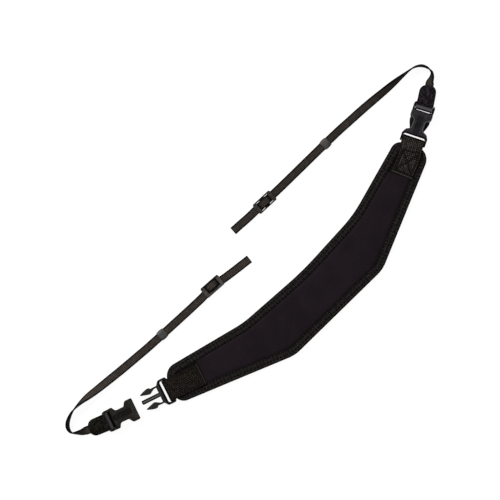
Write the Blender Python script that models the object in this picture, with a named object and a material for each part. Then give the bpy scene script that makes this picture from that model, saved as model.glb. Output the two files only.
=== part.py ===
"""A camera neck strap that lies flat on a surface, one buckle open and the other fastened.

+Z is up, +X runs along the pad towards the fastened buckle, and +Y points from the pad to the two
thin webbing tails. The origin is on the surface below the middle of the whole strap. Sizes and places
are millimetres and angles are degrees; add_object turns them into metres.
"""

import math

import bmesh
import bpy
import numpy as np
from mathutils import Matrix, Vector, geometry

MM = 0.001
ARC_STEP = 13.0  # turn of one facet of a rounded outline
SMALLEST_RADIUS = 0.8
FOLD_FACETS = 8  # round the half turn of a folded tab
SHARP_ANGLE = 35.0

# ---- Pad and its binding -------------------------------------------------------------------------
PAD_CORNERS = (
    # x, y, radius of each corner of the outline, counter-clockwise
    (-194.0, -23.6, 12.5),
    (-50.8, -82.6, 45.0),
    (99.7, -84.3, 45.0),
    (244.8, -23.1, 16.5),
    (222.8, 16.4, 12.0),
    (120.8, -11.9, 170.0),
    (28.6, -16.3, 400.0),
    (-67.9, -9.9, 120.0),
    (-179.0, 18.8, 17.0),
)
OUTLINE_SPACING = 14.0
PAD_SECTION = (
    # distance in from the outline, then bottom and top along the pad, then both under a wide tab
    (1.3, 1.9, 3.1, 2.9, 3.6),
    (2.2, 0.9, 4.1, 2.7, 3.9),
    (10.6, 0.9, 4.2, 2.7, 3.9),
    (12.8, 0.0, 5.3, 2.0, 4.7),
    (15.3, 0.0, 5.6, 1.8, 4.8),
)
PAD_GRID = 14.0  # spacing of the points inside the last row of the section
PAD_GRID_MARGIN = 6.0
BINDING_SECTION = (
    # distance in from the outline, then height along the pad, then height under a wide tab
    (10.2, 5.0, 4.8),
    (1.4, 5.0, 4.8),
    (0.2, 4.1, 4.3),
    (0.0, 2.5, 3.3),
    (0.2, 0.9, 2.3),
    (1.4, 0.0, 1.8),
    (10.2, 0.0, 1.8),
    (10.2, 0.6, 2.4),
    (1.7, 0.6, 2.4),
    (0.7, 2.5, 3.3),
    (1.7, 4.5, 4.2),
    (10.2, 4.5, 4.2),
)
PRESS_END = 50.0  # the pad is pressed flat this far from a buckle's bar
PRESS_FADE = 16.0

# ---- Wide webbing tabs ---------------------------------------------------------------------------
WIDE_TAB_WIDTH = 27.6
WIDE_TAB_THICKNESS = 1.5
WIDE_TAB_LENGTH = 45.0  # from the bar's middle to the cut end
WIDE_TAB_HALF_GAP = 1.8  # from the middle plane to a ply's inner face
WIDE_TAB_HEIGHT = 3.3  # middle plane
RIGHT_TAB_BOW = 1.7  # how far the right tab's middle is sewn off its straight line
WIDE_TAB_FOLD_GAP = 0.5  # between the bar and the fold that goes round it
WIDE_TAB_REACH = (2.0, 8.0, 15.0, 22.0, 29.0, 37.0, WIDE_TAB_LENGTH)  # distances from the bar

# ---- Buckles: each is drawn in its own frame, +u along its axis, v across, w up --------------------
BAR_HALF_HEIGHT = 1.5
BAR_CHAMFER = 0.8
BAR_OVERLAP = 0.8  # how far a bar's ends run into the arms
PRONG_HALF_HEIGHT = 1.75
GUIDE_HALF_WIDTH = 2.5
GUIDE_HALF_HEIGHT = 1.35
GUIDE_RIB = (0.8, 1.8)  # half width and half height
GUIDE_RIB_SHORT = 1.5  # of the guide's tip
GUIDE_TIP_CUT = (0.8, 0.7)  # off the corners of the guide's tip, along and across
GUIDE_LENGTH = 23.9  # beyond the crossbar
CROSSBAR_OVERLAP = 1.5
PRONG_OUTLINE = (
    # u beyond the slot's middle, v, of the outline of one prong
    (5.0, 11.4),
    (9.6, 11.5),
    (14.4, 11.3),
    (15.9, 13.1),
    (19.2, 13.3),
    (24.0, 11.9),
    (29.4, 9.8),
    (29.2, 9.0),
    (20.0, 6.2),
    (17.6, 5.7),
    (16.4, 5.9),
    (14.0, 7.4),
    (12.0, 8.5),
    (10.2, 9.5),
    (5.0, 9.6),
)
SOCKET_HALF_HEIGHT = 4.3
SOCKET_MOUTH_HALF_WIDTH = 11.4
SOCKET_CAVITY_HALF_HEIGHT = 2.3
SOCKET_POCKET = (3.6, 3.0)  # depth beyond the windows and half width of the room for the guide
SOCKET_LOOP_HALF_HEIGHT = 2.9
SOCKET_GROOVE_HALF_WIDTH = 3.6
SOCKET_GROOVE_DEPTH = 0.5
SOCKET_GROOVE_START = 5.0
SOCKET_GROOVE_END = 2.5  # short of the body's rear
SOCKET_GROOVE_CORNER = 1.2
PLASTIC_EDGE = 0.4
PRONG_EDGE = 0.3
SOCKET_EDGE = 0.9
BEYOND = 17.0  # v that lies clear of every buckle
CUT_MARGIN = 1.0  # how far a cutter runs out of what it cuts

# Half outlines run from the axis out to +v and back to the axis; mirrored closes them.
LEFT_PRONG_FRAME = (
    (7.1, 9.8),
    (6.2, 11.6),
    (5.0, 12.7),
    (4.0, 14.3),
    (3.0, 15.5),
    (1.6, 16.4),
    (-1.5, 16.6),
    (-6.4, 16.6),
    (-7.8, 15.9),
    (-8.4, 14.9),
    (-8.4, 14.1),
    (0.1, 14.1),
    (1.3, 12.5),
)
LEFT_PRONG_FRAME_HALF_HEIGHT = 2.2
LEFT_PRONG_BAR = (-7.4, -3.4)  # u of the bar's two sides
RIGHT_PRONG_FRAME = (
    (6.0, 9.6),
    (5.2, 11.0),
    (2.62, 11.1),
    (2.58, 12.9),
    (2.3, 13.2),
    (-5.4, 13.2),
    (-7.2, 12.5),
    (-8.0, 11.9),
    (-8.0, 11.1),
    (0.5, 11.1),
    (1.6, 9.6),
)
RIGHT_PRONG_FRAME_HALF_HEIGHT = 1.9
RIGHT_PRONG_BAR = (-5.1, -1.8)
RIGHT_PRONG_SHIFT = (-4.2, -0.9)  # its prongs are shorter, and are squeezed together in the socket

# A socket's u runs back from its mouth.
LEFT_SOCKET_BODY = (
    (-0.9, 13.0),
    (-0.1, 13.8),
    (6.9, 13.9),
    (8.6, 13.1),
    (9.8, 11.3),
    (11.2, 9.0),
    (12.6, 8.1),
    (21.0, 8.0),
    (23.2, 8.7),
    (24.6, 10.4),
    (25.8, 13.0),
    (26.8, 13.6),
    (30.3, 13.6),
    (31.3, 12.6),
)
LEFT_SOCKET_LOOP = (
    (28.0, 13.4),
    (36.8, 13.4),
    (38.8, 12.6),
    (39.6, 11.9),
    (39.6, 11.2),
    (28.0, 11.2),
)
LEFT_SOCKET_ARM = 11.2  # v of the arms' inner sides
LEFT_SOCKET_BAR = (33.6, 37.0)
LEFT_SOCKET_WINDOW = (9.2, 22.4)  # u between which the cavity is open at the sides
RIGHT_SOCKET_BODY = (
    (0.0, 12.5),
    (0.8, 13.3),
    (6.6, 13.3),
    (8.2, 12.5),
    (9.5, 10.4),
    (10.6, 8.6),
    (12.0, 7.9),
    (21.8, 7.9),
    (23.4, 9.3),
    (24.9, 12.6),
    (27.2, 14.5),
    (29.1, 14.9),
    (30.2, 13.8),
)
RIGHT_SOCKET_LOOP = (
    (27.0, 12.2),
    (27.3, 14.2),
    (30.3, 16.0),
    (39.5, 16.0),
    (40.3, 15.2),
    (40.3, 14.1),
    (32.0, 14.1),
    (30.8, 12.8),
    (29.5, 12.0),
)
RIGHT_SOCKET_ARM = 14.1
RIGHT_SOCKET_BAR = (34.1, 38.2)
RIGHT_SOCKET_WINDOW = (8.2, 22.8)
RIGHT_LOOP_DROP = 1.0  # its loop lies lower than its body, level with the pad's end

# ---- Connector tabs ------------------------------------------------------------------------------
CONNECTOR_THICKNESS = 1.5
CONNECTOR_FOLD_GAP = 0.45
CONNECTOR_TIP_RADIUS = 8.5
CONNECTOR_TIP_FLAT = 0.5  # the rounding stops this far short of its full depth
CONNECTOR_REACH = (2.0, 3.0, 5.0, 7.0, 9.0, 11.0)  # distances from the bar
CONNECTOR_TIP_REACH = (6.0, 4.0, 2.4, 1.2, 0.4, 0.0)  # distances from the tip
CONNECTOR_HALF_GAP = 0.9  # the webbing and its gaps lie between the plies
CONNECTOR_BAR_HALF_GAP = 1.8
CONNECTOR_CLOSE = (3.0, 11.0)  # between these distances from the bar the plies close and come down
CONNECTOR_END_HEIGHT = 2.5
LEFT_CONNECTOR = (10.9, 10.5, 26.6, -5.4)  # half width at the bar and at the tip, length, turn
RIGHT_CONNECTOR = (10.7, 10.3, 27.8, 11.0)
RIGHT_CONNECTOR_ASKEW = 1.6  # it lies turned on its bar, in degrees

# ---- Thin webbing --------------------------------------------------------------------------------
WEBBING_WIDTH = 9.5
WEBBING_THICKNESS = 1.2
WEBBING_LIFT = 1.5  # underside in the keeper and the slider
ROUTE_STEP = 1.0
ROUTE_TOLERANCE = 0.09  # how far the band may stray from its smooth route
SLIDER_PASS = (
    # u from the slider's middle, height above the straight stretch, share of the sideways drift
    (15.5, 0.0, -1.0),
    (10.8, 0.0, -0.6),
    (8.4, 0.05, -0.3),
    (4.1, 3.45, 0.05),
    (2.4, 3.75, 0.1),
    (0.0, 3.75, 0.1),
)
LEFT_STRAIGHT = ((-88.0, 47.9), (-172.0, 51.7))  # x, y of the ends of the keeper's stretch
RIGHT_STRAIGHT = ((80.0, 75.8), (182.0, 74.3))
STRAIGHT_LEAD = 6.0
LEFT_TAIL = (
    # x, y, height of the underside, roll; from the free end to the slider
    (-6.8, 40.5, 0.0, 0.0),
    (-20.0, 42.1, 0.05, 0.0),
    (-36.0, 44.15, 0.7, 0.0),
)
LEFT_BEND = (
    # x, y, height of the lowest edge, roll; from the straight stretch to the connector tab
    (-188.0, 53.0, 1.2, 0.0),
    (-212.0, 55.0, 0.8, 4.0),
    (-236.0, 57.5, 0.5, 14.0),
    (-254.0, 59.5, 0.4, 26.0),
    (-267.0, 61.3, 0.3, 41.0),
    (-277.0, 62.3, 0.3, 62.0),
    (-287.0, 62.4, 0.3, 83.0),
    (-294.5, 61.6, 0.3, 97.0),
    (-301.0, 59.4, 0.3, 107.0),
    (-307.0, 56.2, 0.4, 114.0),
    (-311.1, 51.9, 0.5, 113.0),
    (-312.7, 47.2, 0.4, 101.0),
    (-312.0, 43.2, 0.3, 87.0),
    (-308.6, 40.1, 0.3, 69.0),
    (-303.2, 36.0, 0.3, 42.0),
    (-300.0, 34.3, 0.4, 24.0),
    (-297.0, 32.7, 1.3, 6.0),
    (-293.6, 31.1, 1.9, 0.0),
    (-284.0, 27.2, 1.9, 0.0),
)
RIGHT_TAIL = (
    (3.0, 78.9, 0.0, 0.0),
    (14.0, 78.3, 0.05, 0.0),
    (30.0, 77.3, 0.7, 0.0),
)
RIGHT_BEND = (
    (198.0, 73.4, 1.2, 0.0),
    (216.0, 72.5, 0.9, 3.0),
    (234.0, 71.2, 0.6, 10.0),
    (250.0, 69.7, 0.5, 22.0),
    (264.0, 68.5, 0.4, 36.0),
    (276.0, 67.5, 0.3, 52.0),
    (286.5, 66.5, 0.3, 71.0),
    (293.5, 65.7, 0.3, 84.0),
    (300.2, 64.6, 0.3, 92.0),
    (306.5, 62.0, 0.3, 103.0),
    (311.2, 57.8, 0.3, 109.0),
    (313.7, 52.4, 0.3, 104.0),
    (314.2, 48.0, 0.3, 94.0),
    (313.6, 44.3, 0.3, 84.0),
    (312.1, 42.3, 0.3, 75.0),
    (309.8, 40.3, 0.3, 62.0),
    (306.8, 38.7, 0.3, 51.0),
    (304.8, 37.7, 0.3, 36.0),
    (302.8, 36.6, 1.0, 13.0),
    (300.7, 35.3, 1.88, 0.0),
    (296.4, 32.2, 1.9, 0.0),
    (286.5, 25.2, 1.9, 0.0),
)

# ---- Keepers and sliders -------------------------------------------------------------------------
KEEPER_SECTIONS = (
    # u, half width, half height of the oval outside
    (-5.1, 5.7, 2.2),
    (-3.4, 6.3, 2.5),
    (0.0, 6.7, 2.6),
    (3.4, 6.3, 2.5),
    (5.1, 5.7, 2.2),
)
KEEPER_SLOT = (5.05, 1.5)  # half width and half height inside
KEEPER_SLOT_RISE = 0.1  # the slot's middle lies this much above the ring's
KEEPER_POINTS = 20
KEEPER_OVAL = 2.6  # exponent of the outside, 2 being an ellipse
KEEPER_SLOT_OVAL = 12.0
LEFT_KEEPER_X = -148.2
RIGHT_KEEPER_X = 159.3
SLIDER_OUTLINE = (
    # u, v of a quarter of the outline
    (13.9, 5.7),
    (12.9, 7.4),
)
SLIDER_SLOT = (3.6, 9.2, 5.9)  # u of its two ends, half width
SLIDER_LOW = 3.0  # heights of the frame's underside and top
SLIDER_HIGH = 4.6

# ---- Places: x, y and the direction of +u --------------------------------------------------------
LEFT_PRONG_PLACE = (-196.1, -1.6, 161.5)
LEFT_SOCKET_PLACE = (-236.3, 10.0, 160.7)
RIGHT_SOCKET_PLACE = (270.65, 17.4, 206.5)
RIGHT_PRONG_SET_IN = 2.7  # the socket's mouth lies this far beyond the middle of the prongs' slot
LEFT_SLIDER_PLACE = (-62.9, 48.8, 176.4)
LEFT_SLIDER_DRIFT = -1.9
RIGHT_SLIDER_PLACE = (55.5, 76.6, -2.0)

MATERIALS = {
    # base colour, roughness, metallic
    "neoprene": ((0.013, 0.010, 0.013), 0.85, 0.0),
    "stretch_binding": ((0.014, 0.013, 0.011), 0.80, 0.0),
    "wide_webbing": ((0.016, 0.014, 0.012), 0.80, 0.0),
    "thin_webbing": ((0.032, 0.027, 0.024), 0.75, 0.0),
    "grained_tab": ((0.030, 0.029, 0.027), 0.65, 0.0),
    "moulded_plastic": ((0.045, 0.043, 0.042), 0.45, 0.0),
}


def clear_scene():
    for item in list(bpy.data.objects):
        bpy.data.objects.remove(item)


def material(name):
    made = bpy.data.materials.get(name)
    if made is None:
        colour, roughness, metallic = MATERIALS[name]
        made = bpy.data.materials.new(name)
        made.use_nodes = True
        shader = made.node_tree.nodes["Principled BSDF"]
        shader.inputs["Base Color"].default_value = (*colour, 1.0)
        shader.inputs["Roughness"].default_value = roughness
        shader.inputs["Metallic"].default_value = metallic
    return made


def add_object(name, shape, finish, place=None, height=0.0):
    """Adds the bmesh, drawn in millimetres, as an object whose own origin is at place."""
    bmesh.ops.scale(shape, vec=(MM, MM, MM), verts=shape.verts)
    bmesh.ops.recalc_face_normals(shape, faces=shape.faces)
    mesh = bpy.data.meshes.new(name)
    shape.to_mesh(mesh)
    shape.free()
    mesh.shade_smooth()
    mesh.set_sharp_from_angle(angle=math.radians(SHARP_ANGLE))
    made = bpy.data.objects.new(name, mesh)
    made.data.materials.append(material(finish))
    bpy.context.scene.collection.objects.link(made)
    if place:
        x, y, turn = place
        made.location = (x * MM, y * MM, height * MM)
        made.rotation_euler.z = math.radians(turn)
    return made


def combine(base, helper, operation):
    """Joins the helper to the base or cuts it out, and keeps the helper out of sight."""
    helper.parent = base
    helper.hide_render = True
    helper.display_type = "WIRE"
    step = base.modifiers.new(helper.name, "BOOLEAN")
    step.operation = operation
    step.solver = "EXACT"
    step.object = helper


# ---- Plan geometry -------------------------------------------------------------------------------
def heading(turn):
    return Vector((math.cos(math.radians(turn)), math.sin(math.radians(turn))))


def left_of(direction):
    return Vector((-direction.y, direction.x))


def beyond(place, u, v=0.0, turn=0.0):
    """The place at u, v in another place's frame, turned from it."""
    x, y, angle = place
    point = Vector((x, y)) + heading(angle) * u + left_of(heading(angle)) * v
    return (point.x, point.y, angle + turn)


def smooth(share):
    share = min(max(share, 0.0), 1.0)
    return share * share * (3.0 - 2.0 * share)


def mirrored(half):
    """The closed outline of a half outline and its mirror image across the u axis."""
    return [(u, -v) for u, v in half][::-1] + list(half)


def rounded_outline(corners, inset=0.0):
    """The points of a polygon with rounded corners, moved inwards by inset.

    Each inset gives the same number of points, so outlines join up into a surface.
    """
    arcs = []
    lengths = []
    for index, (x, y, radius) in enumerate(corners):
        corner = Vector((x, y))
        before = Vector(corners[index - 1][:2])
        after = Vector(corners[(index + 1) % len(corners)][:2])
        arriving = (corner - before).normalized()
        leaving = (after - corner).normalized()
        turn = math.atan2(arriving.cross(leaving), arriving.dot(leaving))
        side = math.copysign(1.0, turn)
        bend = max(radius - side * inset, SMALLEST_RADIUS)
        normals = left_of(arriving) + left_of(leaving)
        inner = corner + normals * inset / (1.0 + arriving.dot(leaving))
        start = inner - arriving * bend * math.tan(abs(turn) / 2.0)
        centre = start + left_of(arriving) * side * bend
        facets = max(2, math.ceil(math.degrees(abs(turn)) / ARC_STEP))
        spokes = [Matrix.Rotation(turn * step / facets, 2) for step in range(facets + 1)]
        arcs.append([centre + spoke @ (start - centre) for spoke in spokes])
        lengths.append((after - corner).length)
    points = []
    for index, arc in enumerate(arcs):
        following = arcs[(index + 1) % len(arcs)][0]
        pieces = math.ceil(lengths[index] / OUTLINE_SPACING)
        points += arc
        points += [arc[-1].lerp(following, step / pieces) for step in range(1, pieces)]
    return points


def encloses(outline, point):
    inside = False
    for here, there in zip(outline, outline[1:] + outline[:1]):
        if (here.y > point.y) != (there.y > point.y):
            crossing = here.x + (point.y - here.y) * (there.x - here.x) / (there.y - here.y)
            inside ^= point.x < crossing
    return inside


# ---- Solids --------------------------------------------------------------------------------------
def slab(outline, low, high, edge):
    """A prism over an outline, with its upper and lower rims bevelled by edge."""
    shape = bmesh.new()
    base = shape.faces.new([shape.verts.new((u, v, low)) for u, v in outline])
    raised = bmesh.ops.extrude_face_region(shape, geom=[base])["geom"]
    top = [item for item in raised if isinstance(item, bmesh.types.BMVert)]
    bmesh.ops.translate(shape, verts=top, vec=(0.0, 0.0, high - low))
    bmesh.ops.recalc_face_normals(shape, faces=shape.faces)
    rims = [rim for rim in shape.edges if rim.verts[0].co.z == rim.verts[1].co.z]
    if edge:
        bmesh.ops.bevel(shape, geom=rims, offset=edge, segments=1, affect="EDGES")
    return shape


def box(low, high):
    outline = ((low[0], low[1]), (high[0], low[1]), (high[0], high[1]), (low[0], high[1]))
    return slab(outline, low[2], high[2], 0.0)


def crossing_bar(span, half_length, middle):
    """An eight-sided bar across the buckle between the two u of span, at height middle."""
    flat = BAR_HALF_HEIGHT - BAR_CHAMFER
    low, high = span
    half = [(high - BAR_CHAMFER, BAR_HALF_HEIGHT), (low + BAR_CHAMFER, BAR_HALF_HEIGHT), (low, flat)]
    outline = [(high, flat)] + half + [(u, -w) for u, w in half[::-1]] + [(high, -flat)]
    shape = slab([(u, w + middle) for u, w in outline], -half_length, half_length, 0.0)
    upright = Matrix.Rotation(math.radians(90.0), 3, "X")
    bmesh.ops.rotate(shape, cent=(0.0, 0.0, 0.0), matrix=upright, verts=shape.verts)
    return shape


def skin(shape, rings, closed):
    """Joins rings of points, each to the next, and the last to the first if closed."""
    rows = [[shape.verts.new(point) for point in ring] for ring in rings]
    pairs = list(zip(rows, rows[1:] + rows[:1]))
    for lower, upper in pairs if closed else pairs[:-1]:
        for index in range(len(lower)):
            shape.faces.new((lower[index - 1], lower[index], upper[index]))
            shape.faces.new((lower[index - 1], upper[index], upper[index - 1]))
    return rows


def ribbon(path, across, widths, thickness):
    """A flat band along path, with the direction across it and its width at each point."""
    path = np.array(path, float)
    across = np.array(across, float)
    along = np.gradient(path, axis=0)
    facing = np.cross(along, across)
    facing *= thickness / 2.0 / np.linalg.norm(facing, axis=1, keepdims=True)
    reach = across * np.array(widths, float)[:, None] / 2.0
    low, high = path - facing, path + facing
    corners = (low - reach, low + reach, high + reach, high - reach)
    shape = bmesh.new()
    rows = skin(shape, np.stack(corners, axis=1), closed=False)
    shape.faces.new(rows[0])
    shape.faces.new(rows[-1])
    return shape


# ---- Pad -----------------------------------------------------------------------------------------
def bar_place(place, bar):
    return beyond(place, sum(bar) / 2.0)


def pad_ends():
    """The middle of the bar at each end of the pad and the direction from there along the pad."""
    left = bar_place(LEFT_PRONG_PLACE, LEFT_PRONG_BAR)
    right = bar_place(RIGHT_SOCKET_PLACE, RIGHT_SOCKET_BAR)
    return beyond(left, 0.0, turn=180.0), beyond(right, 0.0)


def pressed(point):
    """1 where the pad is pressed flat under a wide tab, 0 elsewhere."""
    share = 0.0
    for x, y, turn in pad_ends():
        along = (point - Vector((x, y))).dot(heading(turn))
        share = max(share, 1.0 - smooth((along - PRESS_END) / PRESS_FADE))
    return share


def at_height(point, free, under_tab):
    return (point.x, point.y, free + (under_tab - free) * pressed(point))


def build_pad():
    shape = bmesh.new()
    outlines = [rounded_outline(PAD_CORNERS, row[0]) for row in PAD_SECTION]
    lower = [[at_height(p, row[1], row[3]) for p in line] for row, line in zip(PAD_SECTION, outlines)]
    upper = [[at_height(p, row[2], row[4]) for p in line] for row, line in zip(PAD_SECTION, outlines)]
    rows = skin(shape, lower[::-1] + upper, closed=False)
    rim = outlines[-1]
    limit = rounded_outline(PAD_CORNERS, PAD_SECTION[-1][0] + PAD_GRID_MARGIN)
    xs = [point.x for point in limit]
    ys = [point.y for point in limit]
    columns = np.arange(min(xs), max(xs), PAD_GRID)
    rows_across = np.arange(min(ys), max(ys), PAD_GRID)
    grid = [Vector((x, y)) for x in columns for y in rows_across]
    inner = [point for point in grid if encloses(limit, point)]
    loop = [(index, (index + 1) % len(rim)) for index in range(len(rim))]
    _, _, triangles, sources, _, _ = geometry.delaunay_2d_cdt(rim + inner, loop, [], 1, 1e-6)
    _, bottom, top, bottom_pressed, top_pressed = PAD_SECTION[-1]
    for border, free, under_tab in ((rows[0], bottom, bottom_pressed), (rows[-1], top, top_pressed)):
        corners = border + [shape.verts.new(at_height(p, free, under_tab)) for p in inner]
        for triangle in triangles:
            shape.faces.new([corners[sources[index][0]] for index in triangle])
    add_object("pad", shape, "neoprene")


def build_binding():
    shape = bmesh.new()
    rings = []
    for inset, free, under_tab in BINDING_SECTION:
        outline = rounded_outline(PAD_CORNERS, inset)
        rings.append([at_height(point, free, under_tab) for point in outline])
    skin(shape, rings, closed=True)
    add_object("edge_binding", shape, "stretch_binding")


# ---- Tabs ----------------------------------------------------------------------------------------
def hairpin(reach, bar, fold_gap, half_gap, thickness, close=None):
    """Distance from the bar and height of a band that goes round it, from one end to the other.

    The band's inner faces lie half_gap from the middle plane, and past the stretch named by close
    they come together to the second half gap given there.
    """
    half_bar = (bar[1] - bar[0]) / 2.0
    near, far, end_gap = close or (0.0, 1.0, half_gap)
    middle = thickness / 2.0
    turn_radius = half_gap + middle
    start = half_bar + fold_gap - half_gap
    upper = []
    for along in reach:
        share = smooth((along - near) / (far - near))
        upper.append((along, half_gap + (end_gap - half_gap) * share + middle))
    turns = [math.pi * (0.5 - step / FOLD_FACETS) for step in range(FOLD_FACETS + 1)]
    fold = [(-start - turn_radius * math.cos(turn), turn_radius * math.sin(turn)) for turn in turns]
    lower = [(along, -height) for along, height in upper]
    return lower[::-1] + fold[::-1] + upper


def folded_tab(name, finish, place, height, profile, widths, thickness, course):
    """A band along profile, laid out from place.

    course gives, for a distance from the bar, how far the band lies to its side, which way it is
    turned there in degrees, and how far it lies above the bar.
    """
    path = []
    across = []
    for along, level in profile:
        side, turn, lift = course(max(along, 0.0))
        path.append((along, side, level + lift))
        across.append((*left_of(heading(turn)), 0.0))
    add_object(name, ribbon(path, across, widths, thickness), finish, place, height)


def build_wide_tab(name, place, bar, bow=0.0):
    profile = hairpin(WIDE_TAB_REACH, bar, WIDE_TAB_FOLD_GAP, WIDE_TAB_HALF_GAP, WIDE_TAB_THICKNESS)
    widths = [WIDE_TAB_WIDTH] * len(profile)

    def course(along):
        share = smooth(along / WIDE_TAB_LENGTH * 2.0) * smooth(2.0 - along / WIDE_TAB_LENGTH * 2.0)
        return bow * share, 0.0, 0.0

    height = WIDE_TAB_HEIGHT
    folded_tab(name, "wide_webbing", place, height, profile, widths, WIDE_TAB_THICKNESS, course)


def build_connector(name, place, bar, shape):
    near, far = CONNECTOR_CLOSE
    bar_half_width, tip_half_width, length, turn = shape
    shoulder = length + CONNECTOR_TIP_FLAT - CONNECTOR_TIP_RADIUS
    profile = hairpin(
        (*CONNECTOR_REACH, shoulder, *(length - left for left in CONNECTOR_TIP_REACH)),
        bar,
        CONNECTOR_FOLD_GAP,
        CONNECTOR_BAR_HALF_GAP,
        CONNECTOR_THICKNESS,
        (near, far, CONNECTOR_HALF_GAP),
    )
    widths = []
    for along, _ in profile:
        past = max(along - shoulder, 0.0)
        rounding = CONNECTOR_TIP_RADIUS - math.sqrt(CONNECTOR_TIP_RADIUS**2 - past**2)
        narrowing = (bar_half_width - tip_half_width) * smooth(along / length)
        widths.append(2.0 * (bar_half_width - narrowing - rounding))

    def course(along):
        side = math.radians(turn) * along**2 / (2.0 * length)
        lift = (CONNECTOR_END_HEIGHT - SOCKET_HALF_HEIGHT) * smooth((along - near) / (far - near))
        return side, turn * along / length, lift

    height = SOCKET_HALF_HEIGHT
    folded_tab(name, "grained_tab", place, height, profile, widths, CONNECTOR_THICKNESS, course)


# ---- Buckles -------------------------------------------------------------------------------------
def build_prong_buckle(name, place, height, frame, half_height, bar, shift=(0.0, 0.0)):
    """The half with a frame, a bar for the tab, a centre guide and two spring prongs."""
    frame_slab = slab(mirrored(frame), -half_height, half_height, PLASTIC_EDGE)
    body = add_object(name, frame_slab, "moulded_plastic", place, height)
    bar_rod = crossing_bar(bar, frame[-3][1] + BAR_OVERLAP, 0.0)
    combine(body, add_object(name + ".bar", bar_rod, "moulded_plastic"), "UNION")
    crossbar = frame[0][0]
    root = crossbar - CROSSBAR_OVERLAP
    tip = crossbar + GUIDE_LENGTH + shift[0]
    cut_along, cut_across = GUIDE_TIP_CUT
    half = GUIDE_HALF_WIDTH
    guide = ((tip, half - cut_across), (tip - cut_along, half), (root, half))
    guide_slab = slab(mirrored(guide), -GUIDE_HALF_HEIGHT, GUIDE_HALF_HEIGHT, PRONG_EDGE)
    combine(body, add_object(name + ".guide", guide_slab, "moulded_plastic"), "UNION")
    rib_half_width, rib_half_height = GUIDE_RIB
    rib_tip = (tip - GUIDE_RIB_SHORT, rib_half_width, rib_half_height)
    rib = box((root, -rib_half_width, -rib_half_height), rib_tip)
    combine(body, add_object(name + ".rib", rib, "moulded_plastic"), "UNION")
    outline = [(u + shift[0], v + shift[1]) for u, v in PRONG_OUTLINE]
    for label, side in ((".prong_a", 1.0), (".prong_b", -1.0)):
        points = [(u, side * v) for u, v in outline]
        prong = slab(points, -PRONG_HALF_HEIGHT, PRONG_HALF_HEIGHT, PRONG_EDGE)
        combine(body, add_object(name + label, prong, "moulded_plastic"), "UNION")


def build_socket_buckle(name, place, body_outline, loop, arm, bar, window, drop=0.0):
    """The half with a mouth, a waist that is open at the sides, and a loop and bar for the tab."""
    body_slab = slab(mirrored(body_outline), -SOCKET_HALF_HEIGHT, SOCKET_HALF_HEIGHT, SOCKET_EDGE)
    body = add_object(name, body_slab, "moulded_plastic", place, SOCKET_HALF_HEIGHT)
    for label, side in ((".arm_a", 1.0), (".arm_b", -1.0)):
        outline = [(u, side * v) for u, v in loop]
        low = -SOCKET_LOOP_HALF_HEIGHT - drop
        arm_slab = slab(outline, low, low + 2.0 * SOCKET_LOOP_HALF_HEIGHT, PLASTIC_EDGE)
        combine(body, add_object(name + label, arm_slab, "moulded_plastic"), "UNION")
    bar_rod = crossing_bar(bar, arm + BAR_OVERLAP, -drop)
    combine(body, add_object(name + ".bar", bar_rod, "moulded_plastic"), "UNION")
    near, far = window
    depth, half = SOCKET_POCKET
    pocket = ((far + depth, half), (far, half))
    mouth = SOCKET_MOUTH_HALF_WIDTH
    opening = ((far, BEYOND), (near, BEYOND), (near, mouth), (-CUT_MARGIN, mouth))
    reach = SOCKET_CAVITY_HALF_HEIGHT
    cavity = slab(mirrored(pocket + opening), -reach, reach, 0.0)
    combine(body, add_object(name + ".cavity", cavity, "moulded_plastic"), "DIFFERENCE")
    end = body_outline[-1][0] - SOCKET_GROOVE_END
    half = SOCKET_GROOVE_HALF_WIDTH
    start = SOCKET_GROOVE_START
    cut = SOCKET_GROOVE_CORNER
    groove_outline = ((end, half - cut), (end - cut, half), (start + cut, half), (start, half - cut))
    floor = SOCKET_HALF_HEIGHT - SOCKET_GROOVE_DEPTH
    groove = slab(mirrored(groove_outline), floor, SOCKET_HALF_HEIGHT + CUT_MARGIN, 0.0)
    combine(body, add_object(name + ".groove", groove, "moulded_plastic"), "DIFFERENCE")


# ---- Thin webbing --------------------------------------------------------------------------------
def smoothed(rows, step):
    """Catmull-Rom through rows of x, y, z, roll, with knots spaced by the square root of distance."""
    rows = [np.array(row, float) for row in rows]
    rows = [2.0 * rows[0] - rows[1], *rows, 2.0 * rows[-1] - rows[-2]]
    points = []
    for p0, p1, p2, p3 in zip(rows, rows[1:], rows[2:], rows[3:]):
        spans = [math.sqrt(np.linalg.norm((b - a)[:3])) for a, b in ((p0, p1), (p1, p2), (p2, p3))]
        t1 = spans[0]
        t2 = t1 + spans[1]
        t3 = t2 + spans[2]
        count = max(1, round(np.linalg.norm((p2 - p1)[:3]) / step))
        for t in t1 + (t2 - t1) * np.arange(count) / count:
            a1 = p0 + (p1 - p0) * t / t1
            a2 = p1 + (p2 - p1) * (t - t1) / (t2 - t1)
            a3 = p2 + (p3 - p2) * (t - t2) / (t3 - t2)
            b1 = a1 + (a2 - a1) * t / t2
            b2 = a2 + (a3 - a2) * (t - t1) / (t3 - t1)
            points.append(b1 + (b2 - b1) * (t - t1) / (t2 - t1))
    points.append(rows[-2])
    return np.array(points)


def thinned(points):
    """The points of a route without those that a straight band between the others passes close to."""
    edges = points.copy()
    edges[:, 3] = np.radians(points[:, 3]) * WEBBING_WIDTH / 2.0
    chord = edges[-1] - edges[0]
    share = np.clip((edges - edges[0]) @ chord / (chord @ chord), 0.0, 1.0)
    strays = np.linalg.norm(edges - edges[0] - share[:, None] * chord, axis=1)
    worst = int(strays.argmax())
    if strays[worst] < ROUTE_TOLERANCE:
        return points[[0, -1]]
    return np.vstack((thinned(points[: worst + 1])[:-1], thinned(points[worst:])))


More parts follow.
